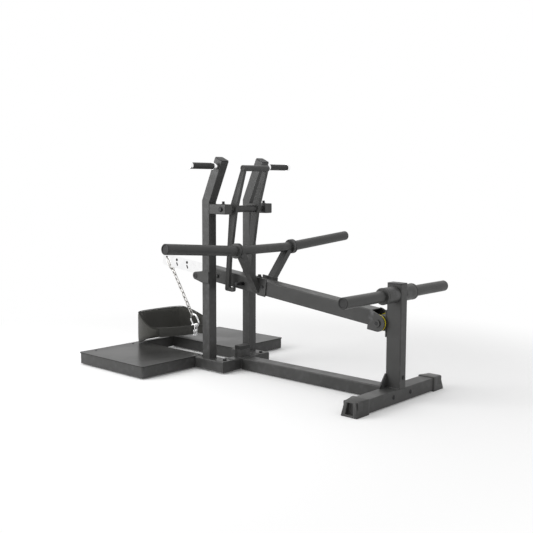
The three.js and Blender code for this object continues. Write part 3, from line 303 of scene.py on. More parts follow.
class Effect(Enum):
    """Shader groups that several finishes share."""

    GRAIN = "surface_grain"
    WEAR = "edge_wear"
    DUST = "settled_dust"
    WEAVE = "plain_weave"

    def group(self) -> NodeTree:
        """Builds the effect's group at its first use.

        Returns:
            The group.
        """
        builders = {Effect.GRAIN: self.build_grain, Effect.WEAR: self.build_wear, Effect.DUST: self.build_dust,
                    Effect.WEAVE: self.build_weave}
        if self.value not in bpy.data.node_groups:
            builders[self]()
        return bpy.data.node_groups[self.value]

    def started(self, takes: dict[str, float], *gives: str,
                ) -> tuple[Board, NodeOutputs, NodeInputs]:
        """Starts the group with numbers for inputs and outputs."""
        numbers = {label: (Socket.NUMBER, value) for label, value in takes.items()}
        return new_tree(self.value, "ShaderNodeTree", numbers, dict.fromkeys(gives, Socket.NUMBER))

    def build_grain(self) -> None:
        """Fine grain and slow clouds over a moulded, sprayed or plated surface."""
        board, given, wanted = self.started({"Grain Size": 0.001, "Cloud Size": 0.1}, "Height", "Cloud")
        board.join(board.patches(given["Grain Size"], 2.0), wanted["Height"])
        board.join(board.spread(board.patches(given["Cloud Size"], 4.0), 0.3, 0.7), wanted["Cloud"])

    def build_wear(self) -> None:
        """Rubbed edges."""
        board, given, wanted = self.started({"Start": 0.52, "Patch Size": 0.02}, "Mask")
        point = board.add("ShaderNodeNewGeometry").outputs["Pointiness"]
        edge = board.times(board.calc("SUBTRACT", point, given["Start"]), 12.0)
        patch = board.spread(board.patches(given["Patch Size"], 5.0), 0.45, 0.7)
        board.join(board.times(board.spread(edge, 0.0, 1.0), patch), wanted["Mask"])

    def build_dust(self) -> None:
        """Dust settled on faces that look up."""
        board, given, wanted = self.started({"Share": 0.2, "Patch Size": 0.15}, "Mask")
        rise = board.axes(board.add("ShaderNodeNewGeometry").outputs["Normal"])["Z"]
        patch = board.spread(board.patches(given["Patch Size"], 6.0), 0.3, 0.75)
        lying = board.times(board.spread(rise, 0.5, 1.0), patch)
        board.join(board.times(lying, given["Share"]), wanted["Mask"])

    def build_weave(self) -> None:
        """Plain weave along the cloth's own map, with threads lighter and darker."""
        board, given, wanted = self.started({"Thread": 0.001, "Stretch": 1.0}, "Height", "Shade")
        flat = board.add("ShaderNodeUVMap", uv_map="cloth").outputs["UV"]
        fineness = board.calc("DIVIDE", 1.0, given["Thread"])
        counted = board.add("ShaderNodeVectorMath", {0: flat, "Scale": fineness}, operation="SCALE")
        ends = board.axes(counted.outputs[0])
        along = board.times(ends["X"], given["Stretch"])
        grid = board.add("ShaderNodeCombineXYZ", {"X": along, "Y": ends["Y"]}).outputs[0]
        square = board.add("ShaderNodeTexChecker", {"Vector": grid, "Scale": 1.0}).outputs["Fac"]
        warp_or_weft = {0: square, 2: board.wave(along), 3: board.wave(ends["Y"])}
        board.join(board.add("ShaderNodeMix", warp_or_weft, data_type="FLOAT").outputs[0], wanted["Height"])
        threads = board.add("ShaderNodeCombineXYZ", {"X": board.times(along, 0.06), "Y": ends["Y"]}).outputs[0]
        board.join(board.noise(threads, 0.8, 3.0), wanted["Shade"])


@dataclass(frozen=True)
class Finish:
    """One surface of the machine, with its sizes in metres.

    Its colour turns to a second one in slow clouds, its edges are rubbed bare, dust lies on what looks up,
    and its roughness runs from smooth to dull.
    """

    name: str
    colour: Colour
    roughness: Pair
    specular: float = 0.5
    second: Colour = grey(0.03)
    second_share: float = 1.0
    grain_size: float = 0.0011
    cloud_size: float = 0.05
    bump: float = 0.35
    bump_depth: float = 0.0004
    bare: Colour = grey(0.12)
    worn: float = 0.0
    wear_start: float = 0.52
    wear_patch: float = 0.015
    dust: Colour = (0.3, 0.29, 0.27)
    dust_share: float = 0.0
    dust_patch: float = 0.05
    metallic: float = 0.0
    sheen: float = 0.0

    def material(self) -> Material:
        """Builds the finish's material at its first use.

        Returns:
            The material.
        """
        made = bpy.data.materials.get(self.name)
        if made is None:
            made = bpy.data.materials.new(self.name)
            made.diffuse_color = rgba(self.colour)
            board = Board.cleared(made)
            shader = board.add("ShaderNodeBsdfPrincipled", {
                "Specular IOR Level": self.specular, "Metallic": self.metallic, "Sheen Weight": self.sheen,
                "Sheen Roughness": 0.45})
            board.add("ShaderNodeOutputMaterial", {"Surface": shader.outputs[0]})
            self.paint(board, shader.inputs)
        return made

    def paint(self, board: Board, wanted: NodeInputs) -> None:
        """Joins the colour, the roughness and the relief to the shader.

        Args:
            board: The material's board.
            wanted: The shader's inputs.
        """
        grain = board.effect(Effect.GRAIN, {"Grain Size": self.grain_size, "Cloud Size": self.cloud_size})
        tone = self.tone(board, grain["Cloud"])
        if self.worn:
            wear = board.effect(Effect.WEAR, {"Start": self.wear_start, "Patch Size": self.wear_patch})
            tone = board.blend(board.times(wear["Mask"], self.worn), tone, self.bare)
        if self.dust_share:
            dust = board.effect(Effect.DUST, {"Share": self.dust_share, "Patch Size": self.dust_patch})
            tone = board.blend(dust["Mask"], tone, self.dust)
        height = self.relief(board, grain["Height"])
        bump = board.add("ShaderNodeBump", {
            "Height": height, "Strength": self.bump, "Distance": self.bump_depth})
        board.join(tone, wanted["Base Color"])
        board.join(self.gloss(board, grain["Cloud"]), wanted["Roughness"])
        board.join(bump.outputs[0], wanted["Normal"])

    def tone(self, board: Board, cloud: NodeSocket) -> NodeSocket:
        """The colour with the second one in clouds."""
        return board.blend(board.times(cloud, self.second_share), self.colour, self.second)

    def gloss(self, board: Board, cloud: NodeSocket) -> NodeSocket:
        """The roughness, which follows the clouds."""
        return board.spread(cloud, 0.0, 1.0, *self.roughness)

    def relief(self, board: Board, height: NodeSocket) -> NodeSocket:
        """The skin's height, which is the grain alone."""
        return height


@dataclass(frozen=True)
class PowderCoat(Finish):
    """Baked paint on steel with an orange-peel skin, rubbed at its edges and dusty on top."""

    grain_size: float = 0.0016
    cloud_size: float = 0.09
    bump: float = 0.12
    bare: Colour = (0.2, 0.2, 0.21)
    worn: float = 0.35
    wear_start: float = 0.53
    wear_patch: float = 0.03
    dust: Colour = (0.32, 0.31, 0.3)
    dust_share: float = 0.12
    dust_patch: float = 0.16


@dataclass(frozen=True)
class Plated(Finish):
    """Bright or blackened metal with fine scratches and a duller second tone."""

    grain_size: float = 0.0012
    cloud_size: float = 0.03
    bump: float = 0.05
    bump_depth: float = 0.0002
    bare: Colour = grey(0.85)
    worn: float = 0.3
    wear_start: float = 0.5
    wear_patch: float = 0.012
    metallic: float = 1.0

    def gloss(self, board: Board, cloud: NodeSocket) -> NodeSocket:
        """Dulls the metal by fine scratches.

        Args:
            board: The material's board.
            cloud: The slow clouds.

        Returns:
            The roughness.
        """
        scratches = board.add("ShaderNodeMapping", {"Vector": board.place(), "Scale": (900.0, 60.0, 900.0)})
        rub = board.times(board.noise(scratches.outputs[0], 1.0, 3.0), cloud)
        return board.spread(rub, 0.0, 0.6, *self.roughness)


@dataclass(frozen=True)
class Moulded(Finish):
    """Rubber or plastic from a mould, with a fine skin and rubbed edges."""

    bump_depth: float = 0.0005
    worn: float = 0.25
    dust_share: float = 0.1


@dataclass(frozen=True)
class GripRubber(Moulded):
    """Rubber of the handgrips, cut into small diamonds round the bar."""

    pitch: float = 0.0046

    def relief(self, board: Board, height: NodeSocket) -> NodeSocket:
        """Cuts diamonds where two sets of slanting ribs cross.

        Args:
            board: The material's board.
            height: The grain's height.

        Returns:
            The skin's height.
        """
        grip = Box("grip_sleeve_right")
        radius = (grip.high.x - grip.low.x) / 2.0 * MM
        axis = mm(grip.middle.x, 0.0, grip.middle.z)
        moved = board.add("ShaderNodeVectorMath", {0: board.place(), 1: axis}, operation="SUBTRACT").outputs[0]
        ends = board.axes(moved)
        girth = board.times(board.calc("ARCTAN2", ends["Z"], ends["X"]), radius)
        ribs = [board.wave(board.calc("ADD", ends["Y"], board.times(girth, sign)), math.pi / self.pitch)
                for sign in SIDES]
        return board.calc("ADD", board.calc("MINIMUM", *ribs), board.times(height, 0.15))


@dataclass(frozen=True)
class Woven(Finish):
    """Cloth or webbing, with threads along its own map and a soft sheen."""

    second_share: float = 0.35
    grain_size: float = 0.0008
    cloud_size: float = 0.07
    bump: float = 0.4
    dust: Colour = (0.28, 0.27, 0.25)
    dust_share: float = 0.05
    dust_patch: float = 0.04
    sheen: float = 0.25
    thread: float = 0.0012
    stretch: float = 1.0

    def weave(self, board: Board) -> NodeOutputs:
        """The weave's height and shade."""
        return board.effect(Effect.WEAVE, {"Thread": self.thread, "Stretch": self.stretch})

    def tone(self, board: Board, cloud: NodeSocket) -> NodeSocket:
        """Makes threads lighter and darker at random, and darkens the low places between them as painted shade.

        Args:
            board: The material's board.
            cloud: The slow clouds.

        Returns:
            The colour.
        """
        weave = self.weave(board)
        tone = board.blend(weave["Shade"], self.colour, self.second)
        # painted shade: the colour darkens towards 0.45 of itself where the weave lies low, between the threads
        low = board.spread(weave["Height"], 0.0, 0.8, 0.45, 0.0)
        tone = board.blend(low, tone, tuple(0.45 * c for c in self.colour))
        return board.blend(board.times(cloud, self.second_share), tone, self.second)

    def relief(self, board: Board, height: NodeSocket) -> NodeSocket:
        """Threads and fibres."""
        return board.calc("ADD", self.weave(board)["Height"], board.times(height, 0.5))


class Surface(Enum):
    """The machine's finishes, each with its material slot in the record."""

    GRAPHITE = "graphite_paint", PowderCoat(
        "graphite_paint_finish", (0.034, 0.034, 0.033), (0.38, 0.48), 0.36, (0.042, 0.042, 0.041))
    DECK = "deck_paint", PowderCoat(
        "deck_paint_finish", (0.030, 0.030, 0.029), (0.28, 0.35), 0.16, (0.036, 0.036, 0.035), worn=0.2,
        dust_share=0.05, grain_size=0.003, cloud_size=0.22, bump=0.05)
    WELD = "graphite_paint", PowderCoat(
        "painted_weld_finish", (0.033, 0.033, 0.032), (0.34, 0.44), 0.36, (0.040, 0.040, 0.039), worn=0.5,
        dust_share=0.05, grain_size=0.0008, bump=0.3)
    RUBBER = "black_rubber", Moulded(
        "black_rubber_finish", grey(0.017), (0.55, 0.7), 0.4, grey(0.02), worn=0.06)
    FOOT = "black_rubber", Moulded(
        "foot_rubber_finish", (0.030, 0.030, 0.029), (0.42, 0.52), 0.42, (0.035, 0.035, 0.034), bump=0.15,
        worn=0.35)
    GRIP = "black_rubber", GripRubber(
        "grip_rubber_finish", grey(0.014), (0.55, 0.7), 0.4, grey(0.022), bump=0.9)
    PLASTIC = "black_plastic", Moulded(
        "black_plastic_finish", (0.010, 0.010, 0.011), (0.4, 0.55), 0.35, (0.014, 0.014, 0.015), bump=0.2,
        worn=0.03)
    YELLOW = "yellow_plastic", Moulded(
        "yellow_plastic_finish", (0.72, 0.62, 0.01), (0.3, 0.42), 0.5, (0.62, 0.5, 0.01), bump=0.12, worn=0.1,
        dust_share=0.02)
    CHROME = "chrome", Plated(
        "chrome_finish", grey(0.95), (0.06, 0.16), 0.5, (0.82, 0.82, 0.83), 0.5)
    ZINC = "chrome", Plated(
        "bright_zinc_finish", (0.58, 0.57, 0.55), (0.14, 0.32), 0.5, (0.24, 0.23, 0.22), 0.7)
    STEEL = "dark_steel", Plated(
        "dark_steel_finish", grey(0.050), (0.3, 0.5), 0.5, grey(0.03), 0.8, metallic=0.7, worn=0.06)
    BOLT = "dark_steel", Plated(
        "blackened_bolt_finish", (0.020, 0.020, 0.021), (0.34, 0.55), 0.5, (0.010, 0.010, 0.011), 0.7,
        metallic=0.5, worn=0.01)
    CLOTH = "belt_cloth", Woven(
        "belt_cloth_finish", (0.042, 0.042, 0.037), (0.72, 0.86), 0.3, (0.055, 0.054, 0.048), thread=0.0011)
    WEBBING = "belt_cloth", Woven(
        "strap_webbing_finish", (0.041, 0.041, 0.037), (0.66, 0.8), 0.3, (0.060, 0.059, 0.054), thread=0.0021,
        stretch=0.45, bump=0.7)
    BINDING = "belt_cloth", Woven(
        "edge_binding_finish", (0.028, 0.028, 0.025), (0.75, 0.88), 0.2, (0.034, 0.034, 0.030), thread=0.0013,
        bump=0.5, sheen=0.0)
    THREAD = "belt_cloth", Moulded(
        "sewing_thread_finish", (0.06, 0.059, 0.052), (0.55, 0.7), 0.5, (0.045, 0.044, 0.040),
        grain_size=0.0004)

    def __init__(self, slot: str, finish: Finish) -> None:
        """Keeps the slot and the finish."""
        self.slot, self.finish = slot, finish

    def material(self) -> Material:
        """The finish's material."""
        return self.finish.material()

    @classmethod
    def of_slot(cls, slot: str) -> "Surface":
        """The finish of a slot's nodes, which is the first that has the slot."""
        return next(surface for surface in cls if surface.slot == slot)


def finished(piece: Object, surface: Surface, body: str, *replaced: str) -> Object:
    """Puts a piece on its body.

    Args:
        piece: The object, in place.
        surface: Its finish; not used.
        body: The body that carries it.
        replaced: CAD nodes that it stands for.

    Returns:
        The piece.
    """
    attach(piece, body)
    if replaced:
        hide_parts(*replaced)
    log.info("%s: %d faces on %s", piece.name, len(piece.data.polygons), body)
    return piece


class MeshMaker:
    """Collects the corners and faces of one piece, with a map for cloth that runs along and round each form."""

    def __init__(self) -> None:
        """Starts empty."""
        self.corners: list[Vector] = []
        self.faces: list[tuple[int, ...]] = []
        self.cloth: list[Pair] = []

    def lofted(self, rows: Sequence[Sequence[Vector]], looped: bool = False) -> "MeshMaker":
        """Adds a skin over closed rows of corners, with a face at either end.

        Args:
            rows: The rows, each with as many corners.
            looped: Whether the last row joins the first, which leaves the end faces out.

        Returns:
            The maker.
        """
        base, count, sides = len(self.corners), len(rows), len(rows[0])
        run = lengths([sum(row, Vector()) / sides for row in rows])
        around = lengths(rows[count // 2])
        for row in rows:
            self.corners.extend(row)
        for i in range(count if looped else count - 1):
            near, far = base + i * sides, base + (i + 1) % count * sides
            for j in range(sides):
                k = (j + 1) % sides
                self.faces.append((near + j, far + j, far + k, near + k))
                self.cloth.extend([(run[i], around[j]), (run[i + 1], around[j]), (run[i + 1], around[j + 1]),
                                   (run[i], around[j + 1])])
        if not looped:
            for i in (0, count - 1):
                self.faces.append(tuple(range(base + i * sides, base + (i + 1) * sides)))
                self.cloth.extend((run[i], reach) for reach in around[:-1])
        return self

    def swept(self, centres: Sequence[Vector], rights: Sequence[Vector], ups: Sequence[Vector],
              sections: Sequence[Outline], looped: bool = False) -> "MeshMaker":
        """Adds a form that carries a section along a line.

        Args:
            centres: The line's points, in metres.
            rights: The section's first direction at each point.
            ups: Its second direction at each point.
            sections: The closed section at each point, in millimetres.
            looped: Whether the line closes on itself.

        Returns:
            The maker.
        """
        rows = [[centre + (right * a + up * b) * MM for a, b in section]
                for centre, right, up, section in zip(centres, rights, ups, sections)]
        return self.lofted(rows, looped)

    def turned(self, rings: Outline, sides: int, at: Vector = Vector(), axis: Vector = UP,
               ) -> "MeshMaker":
        """Adds a turned or many-sided part.

        Args:
            rings: Radius and height of each ring, from the foot to the top, in millimetres.
            sides: Corners in each ring.
            at: Where its foot stands, in metres.
            axis: The way it points.

        Returns:
            The maker.
        """
        right, up, ahead = UP.rotation_difference(axis.normalized()).to_matrix().transposed()
        return self.lofted([[at + (right * a + up * b + ahead * height) * MM for a, b in arc(radius, sides)]
                            for radius, height in rings])

    def wire(self, points: Sequence[Vector], radius: float, sides: int = 14) -> "MeshMaker":
        """Bends round wire into a closed, flat loop.

        Args:
            points: The loop's points, in metres.
            radius: The wire's radius, in millimetres.
            sides: Corners round the wire.

        Returns:
            The maker.
        """
        count = len(points)
        ways = [(points[(i + 1) % count] - points[i - 1]).normalized() for i in range(count)]
        flat = sum((one.cross(two) for one, two in zip(ways, ways[1:])), Vector()).normalized()
        rights = [way.cross(flat).normalized() for way in ways]
        return self.swept(points, rights, [flat] * count, [arc(radius, sides)] * count, looped=True)

    def piece(self, name: str, surface: Surface, crease: float = 38.0) -> Object:
        """Makes the object.

        Args:
            name: The piece's name.
            surface: Its finish.
            crease: Edges sharper than this many degrees stay crisp.

        Returns:
            The object, at the origin.
        """
        mesh = bpy.data.meshes.new(name)
        mesh.from_pydata([tuple(corner) for corner in self.corners], [], self.faces)
        layer = mesh.uv_layers.new(name="cloth")
        layer.data.foreach_set("uv", [value for spot in self.cloth for value in spot])
        tidy_mesh(mesh, crease)
        mesh.materials.append(surface.material())
        return in_scene(name, mesh)

    def fitted(self, name: str, surface: Surface, body: str, *replaced: str, crease: float = 38.0,
               ) -> Object:
        """Makes the object and puts it on its body, for the CAD nodes that it stands for."""
        return finished(self.piece(name, surface, crease), surface, body, *replaced)


def tidy_mesh(mesh: Mesh, crease: float) -> None:
    """Merges doubles, turns faces outwards and marks crisp edges.

    Args:
        mesh: The mesh to change.
        crease: Edges sharper than this many degrees stay crisp.
    """
    work = bmesh.new()
    work.from_mesh(mesh)
    bmesh.ops.remove_doubles(work, verts=work.verts, dist=1e-6)
    bmesh.ops.recalc_face_normals(work, faces=work.faces)
    for face in work.faces:
        face.smooth = True
    for edge in work.edges:
        edge.smooth = len(edge.link_faces) != 2 or edge.calc_face_angle(0.0) < math.radians(crease)
    work.to_mesh(mesh)
    work.free()


class GrowthTree:
    """A geometry tree that makes one kind of repeated detail."""

    def __init__(self, name: str, takes: dict[str, tuple[Socket, object]]) -> None:
        """Starts the tree.

        Args:
            name: The tree's name.
            takes: Its inputs besides the geometry and the finish.
        """
        every = {"Geometry": (Socket.SHAPE, None), **takes, "Finish": (Socket.FINISH, None)}
        gives = {"Geometry": Socket.SHAPE}
        self.board, self.given, self.wanted = new_tree(name, "GeometryNodeTree", every, gives)
        self.build()

    def build(self) -> None:
        """Adds the tree's nodes."""
        raise NotImplementedError

    def close(self, shape: NodeSocket, smooth: bool = True) -> None:
        """Ends the tree with real faces in the finish.

        Args:
            shape: The geometry so far.
            smooth: Whether all its faces are shaded smoothly.
        """
        real = self.board.add("GeometryNodeRealizeInstances", {0: shape}).outputs[0]
        if smooth:
            real = self.board.add("GeometryNodeSetShadeSmooth", {0: real}).outputs[0]
        done = self.board.add("GeometryNodeSetMaterial", {"Geometry": real, "Material": self.given["Finish"]})
        self.board.join(done.outputs[0], self.wanted["Geometry"])

    def arrow(self, name: str) -> NodeSocket:
        """A direction that the base carries at each point."""
        carried = self.board.add("GeometryNodeInputNamedAttribute", {"Name": name}, data_type="FLOAT_VECTOR")
        return carried.outputs["Attribute"]

    def grow(self, name: str, base: Mesh, surface: Surface, values: dict[str, object],
             ) -> Object:
        """Runs the tree on a base mesh and keeps the result as a plain mesh.

        Args:
            name: The piece's name.
            base: Points or lines that the detail follows.
            surface: The detail's finish.
            values: Sizes for the tree's named inputs.

        Returns:
            The piece.
        """
        carrier = in_scene(name + "_base", base)
        modifier = carrier.modifiers.new("growth", "NODES")
        modifier.node_group = self.board.tree
        sockets = {item.name: item.identifier for item in self.board.tree.interface.items_tree
                   if item.in_out == "INPUT"}
        for label, value in {**values, "Finish": surface.material()}.items():
            modifier[sockets[label]] = value
        mesh = evaluated(carrier)
        mesh.name = name
        if not mesh.materials:
            mesh.materials.append(surface.material())
        bpy.data.objects.remove(carrier)
        return in_scene(name, mesh)


class FastenerTree(GrowthTree):
    """Stands one part on each point, along the point's facing, scaled and turned by chance."""

    def __init__(self) -> None:
        """Names the part, its scale and the seed."""
        super().__init__("standing_fasteners", {"Part": (Socket.PART, None), "Size": (Socket.NUMBER, 1.0),
                                                "Seed": (Socket.WHOLE, 3)})

    def build(self) -> None:
        """Adds the tree's nodes."""
        add = self.board.add
        spin = add("FunctionNodeRandomValue", {2: 0.0, 3: 2.0 * math.pi, "Seed": self.given["Seed"]},
                   data_type="FLOAT").outputs[1]
        stand = add("FunctionNodeAlignRotationToVector", {"Vector": self.arrow("facing")},
                    axis="Z").outputs[0]
        twist = add("FunctionNodeAxisAngleToRotation", {"Axis": (0.0, 0.0, 1.0), "Angle": spin}).outputs[0]
        turn = add("FunctionNodeRotateRotation", {"Rotation": stand, "Rotate By": twist},
                   rotation_space="LOCAL").outputs[0]
        part = add("GeometryNodeObjectInfo", {"Object": self.given["Part"]}).outputs["Geometry"]
        placed = add("GeometryNodeInstanceOnPoints", {"Points": self.given["Geometry"], "Instance": part,
                                                      "Rotation": turn, "Scale": self.given["Size"]})
        self.close(placed.outputs[0], smooth=False)


class WeldTree(GrowthTree):
    """Lays a rippled bead along lines."""

    def __init__(self) -> None:
        """Names the bead's sizes."""
        super().__init__("weld_beads", {"Bead": (Socket.NUMBER, 0.0028), "Ripple": (Socket.NUMBER, 0.0024),
                                        "Seed": (Socket.WHOLE, 11)})

    def build(self) -> None:
        """Adds the tree's nodes."""
        add, times = self.board.add, self.board.times
        line = add("GeometryNodeMeshToCurve", {"Mesh": self.given["Geometry"]}).outputs[0]
        step = times(self.given["Ripple"], 0.34)
        fine = add("GeometryNodeResampleCurve", {"Curve": line, "Length": step}, mode="LENGTH").outputs[0]
        place = add("GeometryNodeSplineParameter").outputs["Length"]
        counted = self.board.calc("DIVIDE", place, self.given["Ripple"])
        wave = self.board.calc("SINE", times(counted, 2.0 * math.pi))
        chance = add("FunctionNodeRandomValue", {2: 0.94, 3: 1.08, "Seed": self.given["Seed"]},
                     data_type="FLOAT").outputs[1]
        radius = times(times(self.given["Bead"], chance),
                       self.board.calc("ADD", 1.0, times(wave, 0.13)))
        sized = add("GeometryNodeSetCurveRadius", {"Curve": fine, "Radius": radius}).outputs[0]
        ring = add("GeometryNodeCurvePrimitiveCircle", {"Resolution": 7, "Radius": 1.0}).outputs[0]
        tube = add("GeometryNodeCurveToMesh", {"Curve": sized, "Profile Curve": ring, "Fill Caps": True})
        if "Scale" in tube.inputs:
            self.board.join(radius, tube.inputs["Scale"])
        self.close(tube.outputs[0])


class LinkTree(GrowthTree):
    """Sets an oval link on each point, by the way it hangs and the way it faces."""

    def __init__(self) -> None:
        """Names the links' sizes."""
        super().__init__("hanging_links", {
            "Half Length": (Socket.NUMBER, 0.0168), "Half Width": (Socket.NUMBER, 0.0075),
            "Wire": (Socket.NUMBER, 0.003)})

    def build(self) -> None:
        """Adds the tree's nodes."""
        add, times = self.board.add, self.board.times
        long_side = times(self.given["Half Length"], 2.0)
        short_side = times(self.given["Half Width"], 2.0)
        sides = {"Width": short_side, "Height": long_side}
        box = add("GeometryNodeCurvePrimitiveQuadrilateral", sides).outputs[0]
        oval = add("GeometryNodeFilletCurve", {"Curve": box, "Count": 9,
                                              "Radius": times(self.given["Half Width"], 0.999)},
                  mode="POLY").outputs[0]
        circle = {"Resolution": 10, "Radius": self.given["Wire"]}
        ring = add("GeometryNodeCurvePrimitiveCircle", circle).outputs[0]
        link = add("GeometryNodeCurveToMesh", {"Curve": oval, "Profile Curve": ring}).outputs[0]
        turn = add("FunctionNodeAxesToRotation", {
            0: self.arrow("along"), 1: self.arrow("facing")},
            primary_axis="Y", secondary_axis="Z").outputs[0]
        placed = add("GeometryNodeInstanceOnPoints", {"Points": self.given["Geometry"], "Instance": link,
                                                      "Rotation": turn})
        self.close(placed.outputs[0])


class StitchTree(GrowthTree):
    """Lays short stitches along lines on cloth."""

    def __init__(self) -> None:
        """Names the stitches' sizes."""
        super().__init__("sewn_stitches", {
            "Pitch": (Socket.NUMBER, 0.0042), "Length": (Socket.NUMBER, 0.0031),
            "Thread": (Socket.NUMBER, 0.0009)})

    def build(self) -> None:
        """Adds the tree's nodes."""
        add, times = self.board.add, self.board.times
        line = add("GeometryNodeMeshToCurve", {"Mesh": self.given["Geometry"]}).outputs[0]
        spaced = add("GeometryNodeResampleCurve", {"Curve": line, "Length": self.given["Pitch"]},
                     mode="LENGTH").outputs[0]
        bead = add("GeometryNodeMeshIcoSphere", {"Radius": 1.0, "Subdivisions": 1}).outputs[0]
        turn = add("FunctionNodeAxesToRotation", {
            0: add("GeometryNodeInputTangent").outputs[0], 1: self.arrow("facing")},
            primary_axis="X", secondary_axis="Z").outputs[0]
        half, thick = times(self.given["Length"], 0.5), times(self.given["Thread"], 0.5)
        size = add("ShaderNodeCombineXYZ", {"X": half, "Y": thick, "Z": thick}).outputs[0]
        placed = add("GeometryNodeInstanceOnPoints", {"Points": spaced, "Instance": bead, "Rotation": turn,
                                                      "Scale": size})
        self.close(placed.outputs[0])


def guide_mesh(name: str, points: Sequence[Vector], edges: Sequence[tuple[int, int]] = (),
               **ways: Sequence[Vector]) -> Mesh:
    """Points and edges that a geometry tree follows.

    Args:
        name: The mesh's name.
        points: Where they are, in metres.
        edges: Pairs of points that are joined.
        ways: Named directions, one for each point.

    Returns:
        The mesh.
    """
    mesh = bpy.data.meshes.new(name)
    mesh.from_pydata([tuple(point) for point in points], edges, [])
    for label, arrows in ways.items():
        carried = mesh.attributes.new(label, "FLOAT_VECTOR", "POINT")
        carried.data.foreach_set("vector", [value for arrow in arrows for value in arrow])
    return mesh


def line_mesh(name: str, lines: Sequence[Sequence[Vector]], **ways: Sequence[Sequence[Vector]],
              ) -> Mesh:
    """Lines as edges.

    Args:
        name: The mesh's name.
        lines: Rows of points, in metres.
        ways: Named rows of directions, one for each point.

    Returns:
        The mesh.
    """
    points, edges = [], []
    for line in lines:
        edges.extend((i, i + 1) for i in range(len(points), len(points) + len(line) - 1))
        points.extend(line)
    flat = {label: [arrow for row in rows for arrow in row] for label, rows in ways.items()}
    return guide_mesh(name, points, edges, **flat)


class FastenerKind(Enum):
    """Parts that hold the machine together or stand under it.

    Each is a stack of turned forms with their sides and rings, in millimetres. Bolts have a radius of one.
    """

    HEX_BOLT = ((28, ((1.05, 0.0), (1.08, 0.04), (1.08, 0.14), (1.02, 0.18))),
                (6, ((0.9, 0.17), (0.92, 0.22), (0.92, 0.66), (0.78, 0.76))),
                (20, ((0.62, 0.7), (0.6, 0.775), (0.54, 0.75))))
    DOME_BOLT = ((26, ((1.0, 0.0), (1.0, 0.08), (0.9, 0.24), (0.68, 0.35), (0.4, 0.39))),
                 (6, ((0.36, 0.37), (0.36, 0.4))))
    LEVEL_FOOT = ((28, ((17.5, 0.1), (18.5, 1.2), (18.5, 5.8), (16.5, 8.8), (10.5, 10.5))),
                  (6, ((9.5, 10.2), (9.5, 16.5))))

    def template(self) -> Object:
        """Builds the part, standing on the origin.

        Returns:
            The part.
        """
        maker = MeshMaker()
        for sides, rings in self.value:
            maker.turned(rings, sides)
        return maker.piece(self.name.lower() + "_template", Surface.BOLT, 30.0)


class Workshop:
    """Holds the geometry trees and makes the repeated details for every sub-assembly."""

    def __init__(self) -> None:
        """Builds each tree once."""
        self.fasteners, self.welds = FastenerTree(), WeldTree()
        self.links, self.stitches = LinkTree(), StitchTree()

    def bolts(self, name: str, kind: FastenerKind, places: Sequence[tuple[Vector, Vector]], size: float,
              body: str, surface: Surface = Surface.BOLT) -> Object:
        """Sets fasteners.

        Args:
            name: The piece's name.
            kind: Which part.
            places: Where each stands, in metres, and the way it faces.
            size: A bolt's radius in millimetres, or 1 for a part drawn at its own size.
            body: The body that it rides on.
            surface: Its finish.

        Returns:
            The piece.
        """
        part = kind.template()
        base = guide_mesh(name + "_points", [at for at, _ in places], facing=[way for _, way in places])
        made = self.fasteners.grow(name, base, surface, {"Part": part, "Size": size})
        bpy.data.objects.remove(part)
        return finished(made, surface, body)

    def beads(self, name: str, lines: Sequence[Sequence[Vector]], body: str, bead: float) -> Object:
        """Lays painted weld beads of a radius in metres along lines."""
        made = self.welds.grow(name, line_mesh(name + "_lines", lines), Surface.WELD, {"Bead": bead})
        return finished(made, Surface.WELD, body)

    def sewn(self, name: str, lines: Sequence[Sequence[Vector]], facings: Sequence[Sequence[Vector]], body: str,
             ) -> Object:
        """Sews stitches along lines, each point with the way that it faces."""
        made = self.stitches.grow(name, line_mesh(name + "_lines", lines, facing=facings), Surface.THREAD, {})
        return finished(made, Surface.THREAD, body)


